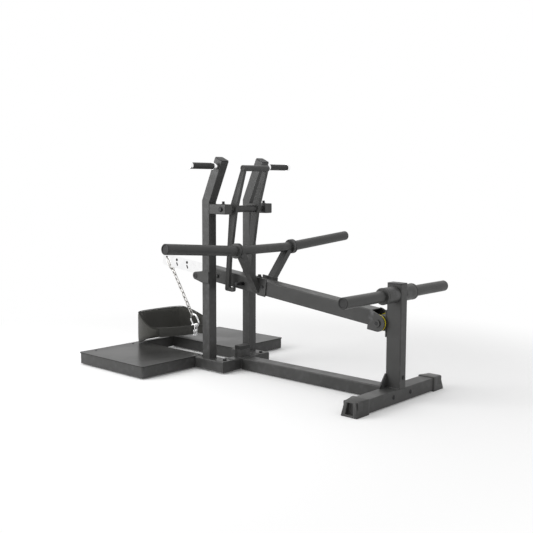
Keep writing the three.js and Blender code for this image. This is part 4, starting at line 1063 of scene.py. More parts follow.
@dataclass
class Studio:
    """Camera, lamps, pale floor and white background, with angles in degrees."""

    camera_at: Vector = field(default_factory=lambda: mm(2743.6, -2993.7, 963.5))
    heading: float = 42.2261
    dip: float = 5.928
    roll: float = 0.1712
    lens: float = 55.02
    sensor: float = 36.0
    ambient: float = 0.66
    lamps: tuple[tuple[str, tuple[float, float, float], float, float], ...] = (
        ("lamp_rear_side", (2600.0, -400.0, 2500.0), 2.6, 8.84),
        ("lamp_over", (-200.0, -300.0, 3200.0), 3.4, 17.0),
        ("lamp_near", (-1500.0, -2600.0, 1700.0), 2.4, 78.2))
    lamp_target: Vector = field(default_factory=lambda: mm(0.0, 0.0, 450.0))
    floor_half: float = 40.0
    fade: Pair = (1.1, 2.3)

    def build(self) -> None:
        """Sets the view, the background, the lamps and the floor."""
        bpy.context.scene.view_settings.view_transform = "Standard"
        self.camera()
        self.world()
        for name, at, size, power in self.lamps:
            self.lamp(name, mm(*at), size, power)
        self.floor()
        log.info("studio ready")

    def camera(self) -> None:
        """Places the camera at the photograph's angle."""
        heading, dip, roll = (math.radians(angle) for angle in (self.heading, self.dip, self.roll))
        level = Vector((math.cos(heading), math.sin(heading), 0.0))
        ahead = UP.cross(level) * math.cos(dip) - UP * math.sin(dip)
        above = level.cross(ahead)
        right = level * math.cos(roll) + above * math.sin(roll)
        top = above * math.cos(roll) - level * math.sin(roll)
        data = bpy.data.cameras.new("camera")
        data.lens, data.sensor_width, data.clip_end = self.lens, self.sensor, 200.0
        made = in_scene("camera", data)
        turn = Matrix((right, top, -ahead)).transposed()
        made.matrix_world = Matrix.Translation(self.camera_at) @ turn.to_4x4()
        bpy.context.scene.camera = made

    @staticmethod
    def seen(board: Board) -> NodeSocket:
        """Tells a ray that shows the background from one that only lights.

        Args:
            board: The board of the world or of the floor's material.

        Returns:
            One for a ray from the camera, a reflection or glass, or else zero.
        """
        path = board.add("ShaderNodeLightPath").outputs
        both = board.calc("MAXIMUM", path["Is Camera Ray"], path["Is Glossy Ray"])
        return board.calc("MAXIMUM", both, path["Is Transmission Ray"])

    def world(self) -> None:
        """White where it is seen, dimmer where it lights the machine."""
        world = bpy.data.worlds.new("studio_air")
        board = Board.cleared(world)
        tone = board.blend(self.seen(board), grey(self.ambient), grey(1.0))
        light = board.add("ShaderNodeBackground", {"Color": tone, "Strength": 1.0})
        board.add("ShaderNodeOutputWorld", {"Surface": light.outputs[0]})
        bpy.context.scene.world = world

    def lamp(self, name: str, at: Vector, size: float, power: float) -> None:
        """Sets a soft square lamp that looks at the machine's middle.

        Args:
            name: The lamp's name.
            at: Where it is, in metres.
            size: The length of its side, in metres.
            power: Its power in watts.
        """
        data = bpy.data.lights.new(name, "AREA")
        data.shape, data.size, data.energy = "SQUARE", size, power
        turn = (self.lamp_target - at).to_track_quat("-Z", "Y")
        in_scene(name, data).matrix_world = Matrix.Translation(at) @ turn.to_matrix().to_4x4()

    def floor(self) -> None:
        """A wide pale floor that looks white and keeps the machine's shadow."""
        mesh = bpy.data.meshes.new("floor")
        ends = ((-1.0, -1.0), (1.0, -1.0), (1.0, 1.0), (-1.0, 1.0))
        mesh.from_pydata([(x * self.floor_half, y * self.floor_half, 0.0) for x, y in ends], [], [(0, 1, 2, 3)])
        made = bpy.data.materials.new("pale_floor")
        board = Board.cleared(made)
        apart = board.add("ShaderNodeVectorMath", {0: board.place()}, operation="LENGTH").outputs["Value"]
        pale, glow, white, plain = (board.add(kind, inputs).outputs[0] for kind, inputs in (
            ("ShaderNodeBsdfDiffuse", {"Color": rgba(grey(0.85))}),
            ("ShaderNodeEmission", {"Color": rgba(grey(1.0)), "Strength": 0.1}),
            ("ShaderNodeEmission", {"Color": rgba(grey(1.0)), "Strength": 1.0}),
            ("ShaderNodeBsdfDiffuse", {"Color": rgba(grey(0.8))})))
        near = board.add("ShaderNodeAddShader", {0: pale, 1: glow}).outputs[0]
        shown = board.add("ShaderNodeMixShader", {0: board.spread(apart, *self.fade), 1: near, 2: white})
        mixed = board.add("ShaderNodeMixShader", {0: self.seen(board), 1: plain, 2: shown.outputs[0]})
        board.add("ShaderNodeOutputMaterial", {"Surface": mixed.outputs[0]})
        mesh.materials.append(made)
        in_scene("floor", mesh)


@dataclass
class CarriedNodes:
    """The CAD nodes, which get their finish, and crisp rolled edges where no other piece stands for them."""

    edge_radius: float = 0.0007
    merge_gap: float = 0.00002
    flat_angle: float = 0.6
    edge_angle: float = 34.0
    surfaces: dict[str, Surface] = field(default_factory=lambda: {
        "grip_sleeve_right": Surface.GRIP, "grip_sleeve_left": Surface.GRIP, "pivot_shaft": Surface.GRAPHITE,
        "lock_shaft": Surface.BOLT, "catch_pin": Surface.BOLT, "weight_cap_right": Surface.RUBBER,
        "weight_cap_left": Surface.RUBBER, "storage_cap_right": Surface.RUBBER,
        "storage_cap_left": Surface.RUBBER})
    stood_for: tuple[str, ...] = (
        "rear_foot_right", "rear_foot_left", "carabiner", "swivel", "chain", "lower_ring", "belt_ring_right",
        "belt_ring_left", "belt_pad", "belt_strap_right", "belt_strap_left")

    def build(self) -> None:
        """Dresses every node."""
        smoother = self.smoother()
        for row in frame["record"]["subparts"]:
            name = row["node"]
            surface = self.surfaces.get(name, Surface.of_slot(row["material_slot"]))
            node = frame["nodes"][name]
            if not node.material_slots:
                node.data.materials.append(surface.material())
            for slot in node.material_slots:
                slot.material = surface.material()
            if name not in self.stood_for:
                self.crisp(node, smoother)

    @staticmethod
    def smoother() -> NodeTree:
        """Builds a tree that shades faces smoothly.

        Returns:
            The tree.
        """
        board, given, wanted = new_tree("smooth_faces", "GeometryNodeTree", {"Geometry": (Socket.SHAPE, None)},
                                        {"Geometry": Socket.SHAPE})
        done = board.add("GeometryNodeSetShadeSmooth", {0: given["Geometry"]})
        board.join(done.outputs[0], wanted["Geometry"])
        return board.tree

    def crisp(self, node: Object, smoother: NodeTree) -> None:
        """Joins the loose faces, rolls the sharp edges and evens the shading.

        Args:
            node: The CAD node.
            smoother: The tree that shades faces smoothly.
        """
        weld = node.modifiers.new("joined", "WELD")
        weld.merge_threshold = self.merge_gap
        flat = node.modifiers.new("plain_faces", "DECIMATE")
        flat.decimate_type, flat.angle_limit = "DISSOLVE", math.radians(self.flat_angle)
        bevel = node.modifiers.new("rolled_edges", "BEVEL")
        bevel.width, bevel.segments = self.edge_radius, 2
        bevel.limit_method, bevel.angle_limit = "ANGLE", math.radians(self.edge_angle)
        bevel.use_clamp_overlap = True
        shade = node.modifiers.new("smooth_faces", "NODES")
        shade.node_group = smoother
        even = node.modifiers.new("even_shading", "WEIGHTED_NORMAL")
        even.keep_sharp, even.weight = True, 60


@dataclass
class WeldedFrame:
    """Beads, bolts, hubs and the eye's bush of the base, the rear post and the two uprights, in millimetres."""

    bead: float = 2.6
    bead_foot: float = 8.0
    bead_sink: float = 1.0
    corner_gap: float = 2.0
    end_gap: float = 3.0
    grip_weld: Pair = (12.8, 0.1)
    bar_weld: Pair = (25.6, 0.6)
    rear_bolt: float = 10.4
    rear_bolts: Rows = ((-66.7, 36.8), (66.7, 36.8), (4.0, 112.0))
    skid_bolt: float = 9.8
    skid_bolts: tuple[float, ...] = (-290.0, -135.0)
    hub: Rows = ((33.5, 0.0), (36.2, 2.2), (36.2, 80.5), (33.5, 83.0))
    hub_gap: float = 0.7
    bush: Rows = (
        (7.9, 0.0), (7.9, 6.6), (13.0, 6.9), (13.0, 8.6), (12.0, 9.4), (6.6, 9.4), (6.0, 7.6))
    bush_sink: float = 0.5
    eye: Pair = (20.0, 32.0)

    def build(self, shop: Workshop) -> None:
        """Lays the beads, sets the bolts and turns the hubs and the bush.

        Args:
            shop: The workshop.
        """
        shop.beads("frame_weld_beads", self.seams(), "frame", self.bead * MM)
        rear, skid = Box("rear_crossbeam").high.x, Box("skid_left")
        places = [(mm(rear, y, z), Vector((1.0, 0.0, 0.0))) for y, z in self.rear_bolts]
        shop.bolts("rear_bolts", FastenerKind.DOME_BOLT, places, self.rear_bolt, "frame")
        places = [(mm(x, side * skid.middle.y, skid.high.z), UP) for x in self.skid_bolts for side in SIDES]
        shop.bolts("skid_bolts", FastenerKind.HEX_BOLT, places, self.skid_bolt, "frame")
        self.hubs()
        self.ear_bush()
        for side in SIDES:
            RubberFoot(side).build()

    def seams(self) -> list[list[Vector]]:
        """Finds where one tube of the frame is welded to another.

        Returns:
            The beads' lines, in metres.
        """
        crossbar, beam, cross, post = (Box(name) for name in (
            "rear_crossbeam", "centre_beam", "cross_tube", "rear_post_cap"))
        top, front, rear = crossbar.high.z, crossbar.low.x, crossbar.high.x - self.end_gap
        rows = [[(rear, post.low.y, top), (front, post.low.y, top), (front, post.high.y, top),
                 (rear, post.high.y, top)]]
        for x in (front, cross.high.x):
            rows.append([(x, beam.low.y, self.bead_foot), (x, beam.low.y, top - self.bead_sink),
                         (x, beam.high.y, top - self.bead_sink), (x, beam.high.y, self.bead_foot)])
        for side in SIDES:
            rows.extend(self.side_seams(side))
        ear, bumper = Box("ear_plate"), Box("bumper_post")
        front, rear = Box("upright_right").low.x, ear.high.x - self.bead_sink
        for height in (ear.low.z, ear.high.z):
            rows.append([(front, ear.high.y, height), (rear, ear.high.y, height)])
        low, high = bumper.low, bumper.high
        corners = ((low.x, low.y), (high.x, low.y), (high.x, high.y), (low.x, high.y), (low.x, low.y))
        rows.append([(x, y, top) for x, y in corners])
        return [[mm(*point) for point in row] for row in rows]

    def side_seams(self, side: float) -> list[list[tuple[float, float, float]]]:
        """Finds one side's seams: skid, upright's foot, lock bracket, grip and storage bar.

        Args:
            side: -1 for the right side, 1 for the left.

        Returns:
            The beads' lines, in millimetres.
        """
        cross, skid, upright, bracket, grip, bar, post = (Box(name) for name in (
            "cross_tube", "skid_left", "upright_left", "lock_bracket_left", "grip_bar_left", "storage_bar",
            "rear_post_cap"))
        gap, sink, top, rear = self.corner_gap, self.bead_sink, skid.high.z, bracket.low.x
        inner, inside, outside = side * skid.low.y, side * upright.low.y, side * upright.high.y
        rows = [[(cross.low.x, inner, self.bead_foot + gap), (cross.low.x, inner, top - sink / 2.0),
                 (cross.high.x - gap, inner, top - sink / 2.0)],
                [(upright.low.x + gap, inside, top), (rear, inside, top), (rear, outside - side * sink, top)]]
        for height in (bracket.high.z, bracket.low.z):
            rows.append([(rear, inside + side * gap, height), (rear, outside - side * gap, height)])
        rows.append([(rear, outside, bracket.low.z + self.end_gap),
                     (rear, outside, bracket.high.z - self.end_gap)])
        for tube, (radius, out), face, steps in ((grip, self.grip_weld, grip.low.y, 20),
                                                 (bar, self.bar_weld, post.high.y, 24)):
            ring = arc(radius, steps)
            rows.append([(tube.middle.x + a, side * (face + out), tube.middle.z + b)
                         for a, b in [*ring, ring[0]]])
        return rows

    def hubs(self) -> None:
        """Thick hubs between the post and the storage bar's collars."""
        maker = MeshMaker()
        bar, start = Box("storage_bar").middle, Box("rear_post_cap").high.y + self.hub_gap
        for side in SIDES:
            maker.turned(self.hub, 48, mm(bar.x, side * start, bar.z), sideways(side))
        maker.fitted("storage_bar_hubs", Surface.GRAPHITE, "frame")

    def ear_bush(self) -> None:
        """A flanged bush pressed into the ear plate's eye."""
        ear, (behind, rise) = Box("ear_plate"), self.eye
        foot = mm(ear.low.x + behind, ear.high.y + self.bush_sink, ear.low.z + rise)
        MeshMaker().turned(self.bush, 32, foot, sideways(-1.0)).fitted("ear_bush", Surface.RUBBER, "frame")


@dataclass
class RubberFoot:
    """A moulded foot over one end of the crossbeam, with a sloping top and a tapered pocket in its end."""

    side: float
    slope: float = 9.0
    taper: float = 12.5
    drop: float = 4.0
    shoulder: float = 14.0
    sole_rise: float = 0.15
    pocket: Pair = (-24.0, 6.0)
    pocket_draft: float = 2.0
    pocket_halves: Pair = (19.0, 12.0)
    pocket_heights: Pair = (9.0, 59.0)
    rounding: float = 0.0032

    def build(self) -> None:
        """Lofts the foot, cuts the pocket and rounds the edges."""
        name = "rear_foot_" + ("right" if self.side < 0 else "left")
        box = Box(name)
        half, top = (box.high.x - box.low.x) / 2.0, box.high.z
        mouth, end = sorted((abs(box.low.y), abs(box.high.y)))
        rows = [self.outline((half, y, self.sole_rise), (half, y, top)) for y in (mouth, mouth + self.shoulder)]
        upper = (half - self.taper, end - self.slope, top - self.drop)
        rows.append(self.outline((half, end, self.sole_rise), upper))
        foot = MeshMaker().lofted(rows).piece(name + "_rubber", Surface.FOOT)
        cutter = self.cutter(end)
        cut = foot.modifiers.new("pocket", "BOOLEAN")
        cut.operation, cut.solver, cut.object = "DIFFERENCE", "EXACT", cutter
        bake(foot)
        bpy.data.objects.remove(cutter)
        rounded = foot.modifiers.new("rounded", "BEVEL")
        rounded.width, rounded.segments, rounded.limit_method = self.rounding, 3, "ANGLE"
        rounded.angle_limit = math.radians(25.0)
        bake(foot)
        tidy_mesh(foot.data, 30.0)
        finished(foot, Surface.FOOT, "frame", name)

    def outline(self, low: tuple[float, float, float], high: tuple[float, float, float]) -> list[Vector]:
        """Four corners across the foot.

        Args:
            low: Half width, distance from the machine's middle and height of the lower two, in millimetres.
            high: The same of the upper two.

        Returns:
            The corners, in metres.
        """
        middle = Box("rear_crossbeam").middle.x
        return [mm(middle + sign * half, self.side * y, z)
                for sign, (half, y, z) in ((-1.0, low), (1.0, low), (1.0, high), (-1.0, high))]

    def cutter(self, end: float) -> Object:
        """Makes the tapered pocket's form.

        Args:
            end: The foot's end, in millimetres from the machine's middle.

        Returns:
            The form.
        """
        (low_half, high_half), (low, high) = self.pocket_halves, self.pocket_heights
        rows = [self.outline((low_half + grow, end + reach, low), (high_half + grow, end + reach, high))
                for reach, grow in zip(self.pocket, (0.0, self.pocket_draft))]
        return MeshMaker().lofted(rows).piece("pocket_form", Surface.FOOT)


@dataclass
class Platform:
    """Bolts and levelling feet of the foot platform, in millimetres."""

    bolt: float = 6.8
    bolt_inset: float = 27.75
    bolts: tuple[float, ...] = (-430.0, -180.0, 180.0, 430.0)
    foot_inset: float = 43.0
    slot_half: float = 117.6

    def build(self, shop: Workshop) -> None:
        """Sets the deck's round bolts and the feet's rubber cups.

        Args:
            shop: The workshop.
        """
        deck, rim = Box("platform_deck"), Box("platform_frame")
        front = deck.low.x + self.bolt_inset
        shop.bolts("deck_bolts", FastenerKind.DOME_BOLT, [(mm(front, y, deck.high.z), UP) for y in self.bolts],
                   self.bolt, "frame")
        feet = [(mm(x, side * y, 0.0), UP) for x in (rim.low.x + self.foot_inset, rim.high.x - self.foot_inset)
                for y in (rim.high.y - self.foot_inset, self.slot_half + self.foot_inset) for side in SIDES]
        shop.bolts("levelling_foot_cups", FastenerKind.LEVEL_FOOT, feet, 1.0, "frame", Surface.RUBBER)


@dataclass
class LeverArm:
    """Bolts, hubs, dark hole sleeves and dark socket hexes of the swinging arm, in millimetres and degrees as
    it lies at rest. The sleeves and hexes are painted shade.
    """

    pitch: float = 6.39
    top: float = 52.0
    stations: int = 3
    first_station: float = 1458.5
    station_step: float = 83.5
    hole_drop: float = 17.0
    hole_radius: float = 7.95
    slot_ahead: float = 4.5
    slot_drop: float = 40.0
    slot_half: float = 6.5
    slot_radius: float = 4.45
    slot_lean: float = 32.0
    hole_shade_half: float = 6.05
    hole_shade_wall: float = 0.9
    saddle_bolt: float = 7.6
    saddle_bolts: Rows = ((-14.0, 452.0), (40.0, 446.0))
    saddle_face: float = 44.1
    hub: Rows = ((33.0, 0.0), (36.2, 2.5), (36.2, 14.0))
    hub_start: float = 185.5
    socket: Rows = ((9.8, -4.0), (9.8, 0.4), (9.2, 1.0))

    def turn(self) -> Matrix:
        """The arm's lie at rest, about the pivot."""
        return Matrix.Rotation(math.radians(self.pitch), 3, "Y")

    def at(self, x: float, y: float, z: float) -> Vector:
        """A point of the arm, from the pivot along, across and up, in metres."""
        return Box("pivot_shaft").middle * MM + self.turn() @ mm(x, y, z)

    def hole(self, station: int) -> Vector:
        """The middle of a station's round hole, in metres."""
        return self.at(station * self.station_step - self.first_station, 0.0, self.top - self.hole_drop)

    def build(self, shop: Workshop) -> None:
        """Sets the saddle bolts and the arm's turned pieces.

        Args:
            shop: The workshop.
        """
        rows = [(mm(x, side * self.saddle_face, z), sideways(side))
                for side in SIDES for x, z in self.saddle_bolts]
        shop.bolts("saddle_bolts", FastenerKind.HEX_BOLT, rows, self.saddle_bolt, "arm")
        self.hubs()
        self.painted_hole_shade()
        self.sockets()

    def hubs(self) -> None:
        """Thick hubs behind the collars of the weight sleeves."""
        maker = MeshMaker()
        bar = Box("weight_crossbar").middle
        for side in SIDES:
            maker.turned(self.hub, 48, mm(bar.x, side * self.hub_start, bar.z), sideways(side))
        maker.fitted("weight_collar_hubs", Surface.GRAPHITE, "arm")

    def painted_hole_shade(self) -> None:
        """Dark sleeves in the belt bar's round holes and slanting slots, as painted shade for the shade inside
        them.
        """
        maker = MeshMaker()
        lean = math.radians(self.slot_lean)
        wall, half = -self.hole_shade_wall, self.hole_shade_half
        section = [(0.0, -half), (0.0, half), (wall, half), (wall, -half)]
        for station in range(self.stations):
            back = station * self.station_step - self.first_station
            hole = [(back, self.top - self.hole_drop, self.hole_radius, way) for way in arc(1.0, 32)]
            slot = []
            for sign, start in ((1.0, self.slot_lean), (-1.0, self.slot_lean + 180.0)):
                x = back + self.slot_ahead - sign * self.slot_half * math.sin(lean)
                z = self.top - self.slot_drop + sign * self.slot_half * math.cos(lean)
                slot.extend((x, z, self.slot_radius, way) for way in arc(1.0, 12, start, start + 180.0))
            for outline in (hole, slot):
                centres = [self.at(x + radius * c, 0.0, z + radius * s) for x, z, radius, (c, s) in outline]
                ways = [self.turn() @ Vector((c, 0.0, s)) for _, _, _, (c, s) in outline]
                maker.swept(centres, ways, [sideways(1.0)] * len(ways), [section] * len(ways), looped=True)
        # painted shade: these dark sleeves stand for the shade inside the bar's holes and slots
        maker.fitted("belt_bar_liners", Surface.BOLT, "arm")

    def sockets(self) -> None:
        """Dark six-sided plugs on the pivot bolt's heads, a little proud of them, as painted shade for the
        hollows of the key sockets.
        """
        maker = MeshMaker()
        shaft = Box("pivot_shaft")
        for side in SIDES:
            face = mm(shaft.middle.x, side * (shaft.high.y - 0.1), shaft.middle.z)
            maker.turned(self.socket, 6, face, sideways(side))
        # painted shade: a dark solid hex stands for the shaded hollow of each key socket
        maker.fitted("pivot_bolt_sockets", Surface.PLASTIC, "frame")


class HookLine:
    """The line of hooks and links from the belt bar's first hole down to the belt."""

    lean = math.radians(29.0)
    drift = math.radians(4.0)
    start = LeverArm().hole(0)
    line = Vector((math.sin(lean), math.sin(drift), -math.cos(lean))).normalized()
    across = Vector((0.0, 1.0, 0.0)).cross(-line).normalized()
    side = across.cross(line)

    @classmethod
    def at(cls, distance: float, x: float = 0.0, y: float = 0.0, z: float = 0.0, crosswise: bool = False,
           ) -> Vector:
        """A point beside the line.

        Args:
            distance: How far down the line, in millimetres.
            x: Millimetres in the wire's own plane.
            y: Millimetres out of that plane.
            z: Millimetres back up the line.
            crosswise: Whether the wire's plane is the one across the arm.

        Returns:
            The point, in metres.
        """
        first, second = (cls.side, -cls.across) if crosswise else (cls.across, cls.side)
        return cls.start + (cls.line * (distance - z) + first * x + second * y) * MM


def bow(half_width: float, half_length: float, corner: float, steps: int) -> list[Pair]:
    """Rounds the corners of a rectangle.

    Args:
        half_width: Half its width.
        half_length: Half its length.
        corner: The corners' radius.
        steps: Steps round each corner.

    Returns:
        The outline's points.
    """
    points = []
    for quarter, (x, z) in enumerate(((1, 1), (-1, 1), (-1, -1), (1, -1))):
        points.extend((x * (half_width - corner) + a, z * (half_length - corner) + b)
                      for a, b in arc(corner, steps, quarter * 90.0, quarter * 90.0 + 90.0))
    return [point for i, point in enumerate(points) if math.dist(point, points[i - 1]) > 0.05]


@dataclass
class ChainAndHooks:
    """Zinc-bright carabiner, swivel and chain, and the large chrome ring below them, in millimetres."""

    carabiner_middle: float = 37.514
    carabiner_half: Pair = (16.0, 36.0)
    carabiner_wire: float = 4.0
    gate: Rows = (
        (4.1, 0.0), (5.6, 0.8), (5.9, 2.0), (5.9, 4.0), (5.4, 4.6), (5.4, 17.0), (5.9, 17.6), (5.9, 19.6),
        (5.5, 20.6), (4.1, 21.2))
    gate_drop: float = 12.0
    pin: Rows = ((1.6, 0.0), (1.9, 0.5), (1.9, 9.5), (1.6, 10.0))
    pin_drop: float = 17.0
    swivel_middle: float = 88.214
    swivel_half: Pair = (8.5, 9.5)
    swivel_eye: float = 13.0
    swivel_wire: float = 3.5
    barrel: Rows = (
        (4.5, 0.0), (6.6, 0.6), (7.6, 2.0), (7.6, 7.0), (6.4, 7.6), (6.4, 8.6), (7.6, 9.2), (7.6, 14.2),
        (6.6, 15.6), (4.5, 16.2))
    barrel_drop: float = 8.0
    links: int = 9
    first_link: float = 120.71
    link_step: float = 28.0916
    link_half: Pair = (7.5, 16.796)
    link_wire: float = 3.0
    ring_middle: float = 389.938
    ring_half: Pair = (25.5, 35.5)
    ring_wire: float = 4.5
    blend_start: Vector = field(default_factory=lambda: mm(-720.8, 0.0, 543.1))
    blend_end: Vector = field(default_factory=lambda: mm(-545.0, 30.0, 235.0))

    def build(self, shop: Workshop) -> None:
        """Makes each hook, the links and the large ring.

        Args:
            shop: The workshop.
        """
        self.carabiner()
        self.swivel()
        self.chain(shop)
        outline = bow(*self.ring_half, self.ring_half[0], 10)
        points = [HookLine.at(self.ring_middle, x=x, z=z) for x, z in outline]
        maker = MeshMaker().wire(points, self.ring_wire, 16)
        maker.fitted("lower_ring_wire", Surface.CHROME, "frame", "lower_ring", crease=60.0)

    def carabiner(self) -> None:
        """The wire body, its screw gate with knurled collar, and the hinge pin."""
        middle, half = self.carabiner_middle, self.carabiner_half[0]
        outline = bow(*self.carabiner_half, half, 9)
        body = [HookLine.at(middle, x=x, z=z, crosswise=True) for x, z in outline]
        maker = MeshMaker().wire(body, self.carabiner_wire, 16)
        foot = HookLine.at(middle, x=half, z=-self.gate_drop, crosswise=True)
        maker.turned(self.gate, 20, foot, -HookLine.line)
        head = HookLine.at(middle, x=half, y=-self.pin[-1][1] / 2.0, z=-self.pin_drop, crosswise=True)
        maker.turned(self.pin, 12, head, -HookLine.across)
        maker.fitted("carabiner_wire", Surface.ZINC, "arm", "carabiner", crease=45.0)

    def swivel(self) -> None:
        """Two eyes that turn on one barrel."""
        maker = MeshMaker()
        for sign in (-1.0, 1.0):
            outline = bow(*self.swivel_half, self.swivel_half[0], 7)
            maker.wire([HookLine.at(self.swivel_middle, x=x, z=z + sign * self.swivel_eye) for x, z in outline],
                       self.swivel_wire)
        maker.turned(self.barrel, 22, HookLine.at(self.swivel_middle, z=-self.barrel_drop), -HookLine.line)
        self.hang(maker.piece("swivel_eyes", Surface.ZINC, 45.0), "swivel")

    def chain(self, shop: Workshop) -> None:
        """Hangs the short links.

        Args:
            shop: The workshop.
        """
        points = [HookLine.at(self.first_link + i * self.link_step) for i in range(self.links)]
        facings = [-HookLine.across if i % 2 == 0 else HookLine.side for i in range(self.links)]
        base = guide_mesh("chain_points", points, facing=facings, along=[-HookLine.line] * self.links)
        half_width, half_length = self.link_half
        sizes = {"Half Length": half_length * MM, "Half Width": half_width * MM, "Wire": self.link_wire * MM}
        self.hang(shop.links.grow("chain_links", base, Surface.ZINC, sizes), "chain")

    def hang(self, piece: Object, node: str) -> None:
        """Fixes a piece's place into its mesh and hides the CAD node that it stands for.

        Args:
            piece: The object, in place.
            node: The CAD node that it stands for.
        """
        tuple(self.blend_start)
        tuple(self.blend_end)
        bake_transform(piece)
        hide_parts(node)
        log.info("%s: %d faces between arm and frame", piece.name, len(piece.data.polygons))


@dataclass
class EndRing:
    """A chrome ring in one of the belt's ends, in millimetres and degrees.

    It lies in the lower ring's arc at an angle from the lowest point, and turns its far side another way.
    """

    hand: str
    hang: float
    turn: float
    middle: float
    reach: float = 16.9
    half: Pair = (13.5, 29.0)
    corner: float = 5.0
    wire: float = 3.5

    def way(self) -> Vector:
        """The level way from the strap to the lower ring."""
        return Vector((math.cos(math.radians(self.turn)), math.sin(math.radians(self.turn)), 0.0))

    def place(self) -> Vector:
        """Finds where the strap goes round the ring's wire.

        Returns:
            The place seen from above.
        """
        hooks, angle = ChainAndHooks(), math.radians(self.hang)
        half_width, half_length = hooks.ring_half
        down = hooks.ring_middle + half_length - half_width + self.reach * math.cos(angle)
        touch = HookLine.at(down, x=self.reach * math.sin(angle)) / MM - self.way() * self.half[0]
        return Vector((touch.x, touch.y, 0.0))

    def build(self) -> None:
        """Bends the ring, upright in the strap's loop."""
        place = self.place()
        centre = mm(place.x, place.y, self.middle) + self.way() * self.half[0] * MM
        points = [centre + (self.way() * x + UP * z) * MM for x, z in bow(*self.half, self.corner, 5)]
        node = "belt_ring_" + self.hand
        MeshMaker().wire(points, self.wire).fitted(node + "_wire", Surface.CHROME, "frame", node, crease=60.0)


@dataclass
class BeltRoute:
    """The belt's line seen from above, from the near ring round the hips to the far ring, in millimetres.

    Its points lie at given shares of the belt's depth and breadth from the lower ring's foot, with an
    end of the line in each ring.
    """

    near: EndRing
    far: EndRing
    depth: float = 323.0
    breadth: float = 417.0
    shares: Rows = (
        (-0.436, -0.503), (-0.902, -0.408), (-0.972, -0.041), (-0.898, 0.310), (-0.563, 0.497), (-0.162, 0.386),
        (0.088, 0.089))
    strap_loop: float = 7.0
    middle: float = 156.2
    near_drop: Pair = (6.0, 9.0)
    near_sag: float = 0.06
    rise: Pair = (0.17, 0.34)
    pad_start: Pair = (0.17, 0.33)
    pad_end: Pair = (0.6, 0.76)
    strap_height: float = 50.0
    pad_height: float = 172.0
    divisions: int = 200

    def __post_init__(self) -> None:
        """Places the points and measures the way along them."""
        hooks = ChainAndHooks()
        root = HookLine.at(hooks.ring_middle + hooks.ring_half[1]) / MM
        inner = [Vector((root.x + x * self.depth, root.y + y * self.breadth, 0.0)) for x, y in self.shares]
        ends = [ring.place() + ring.way() * self.strap_loop for ring in (self.near, self.far)]
        self.knots = [ends[0], *inner, ends[1]]
        self.knots = [self.knots[0] * 2.0 - self.knots[1], *self.knots, self.knots[-1] * 2.0 - self.knots[-2]]
        self.reaches = lengths([self.curve(i / self.divisions) for i in range(self.divisions + 1)])[:-1]
        self.length = self.reaches[-1]

    def curve(self, part: float) -> Vector:
        """A point of the centripetal curve through the knots.

        Args:
            part: From 0 to 1, in even steps from knot to knot.

        Returns:
            The point.
        """
        spans = len(self.knots) - 3
        index = min(max(int(part * spans), 0), spans - 1)
        t = part * spans - index
        a, b, c, d = self.knots[index:index + 4]
        one, two, three = (math.sqrt((end - start).length) for start, end in ((a, b), (b, c), (c, d)))
        leave = ((b - a) / one - (c - a) / (one + two) + (c - b) / two) * two
        arrive = ((c - b) / two - (d - b) / (two + three) + (d - c) / three) * two
        return b + leave * t + ((c - b) * 3.0 - leave * 2.0 - arrive) * t ** 2 + (
            (b - c) * 2.0 + leave + arrive) * t ** 3

    def spot(self, share: float) -> tuple[Vector, Vector, Vector]:
        """One place on the route.

        Args:
            share: How far along it, from 0 to 1.

        Returns:
            The point, the way along and the way out, all level.
        """
        reach = min(max(share, 0.0), 1.0) * self.length
        index = min(bisect_right(self.reaches, reach), self.divisions) - 1
        low, high = self.reaches[index:index + 2]
        part = (index + (reach - low) / (high - low)) / self.divisions
        way = (self.curve(min(part + 0.0001, 1.0)) - self.curve(max(part - 0.0001, 0.0))).normalized()
        return self.curve(part), way, Vector((way.y, -way.x, 0.0))

    def centre(self, share: float) -> float:
        """Height of the belt's middle line at a place: the near strap hangs a little low."""
        drop = self.near_drop[0] + (self.near_drop[1] - self.near_drop[0]) * ramp(share, 0.0, self.near_sag)
        return self.middle - drop * (1.0 - ramp(share, *self.rise))

    def height(self, share: float) -> float:
        """The belt's height at a place."""
        pad = ramp(share, *self.pad_start) - ramp(share, *self.pad_end)
        return self.strap_height + (self.pad_height - self.strap_height) * pad


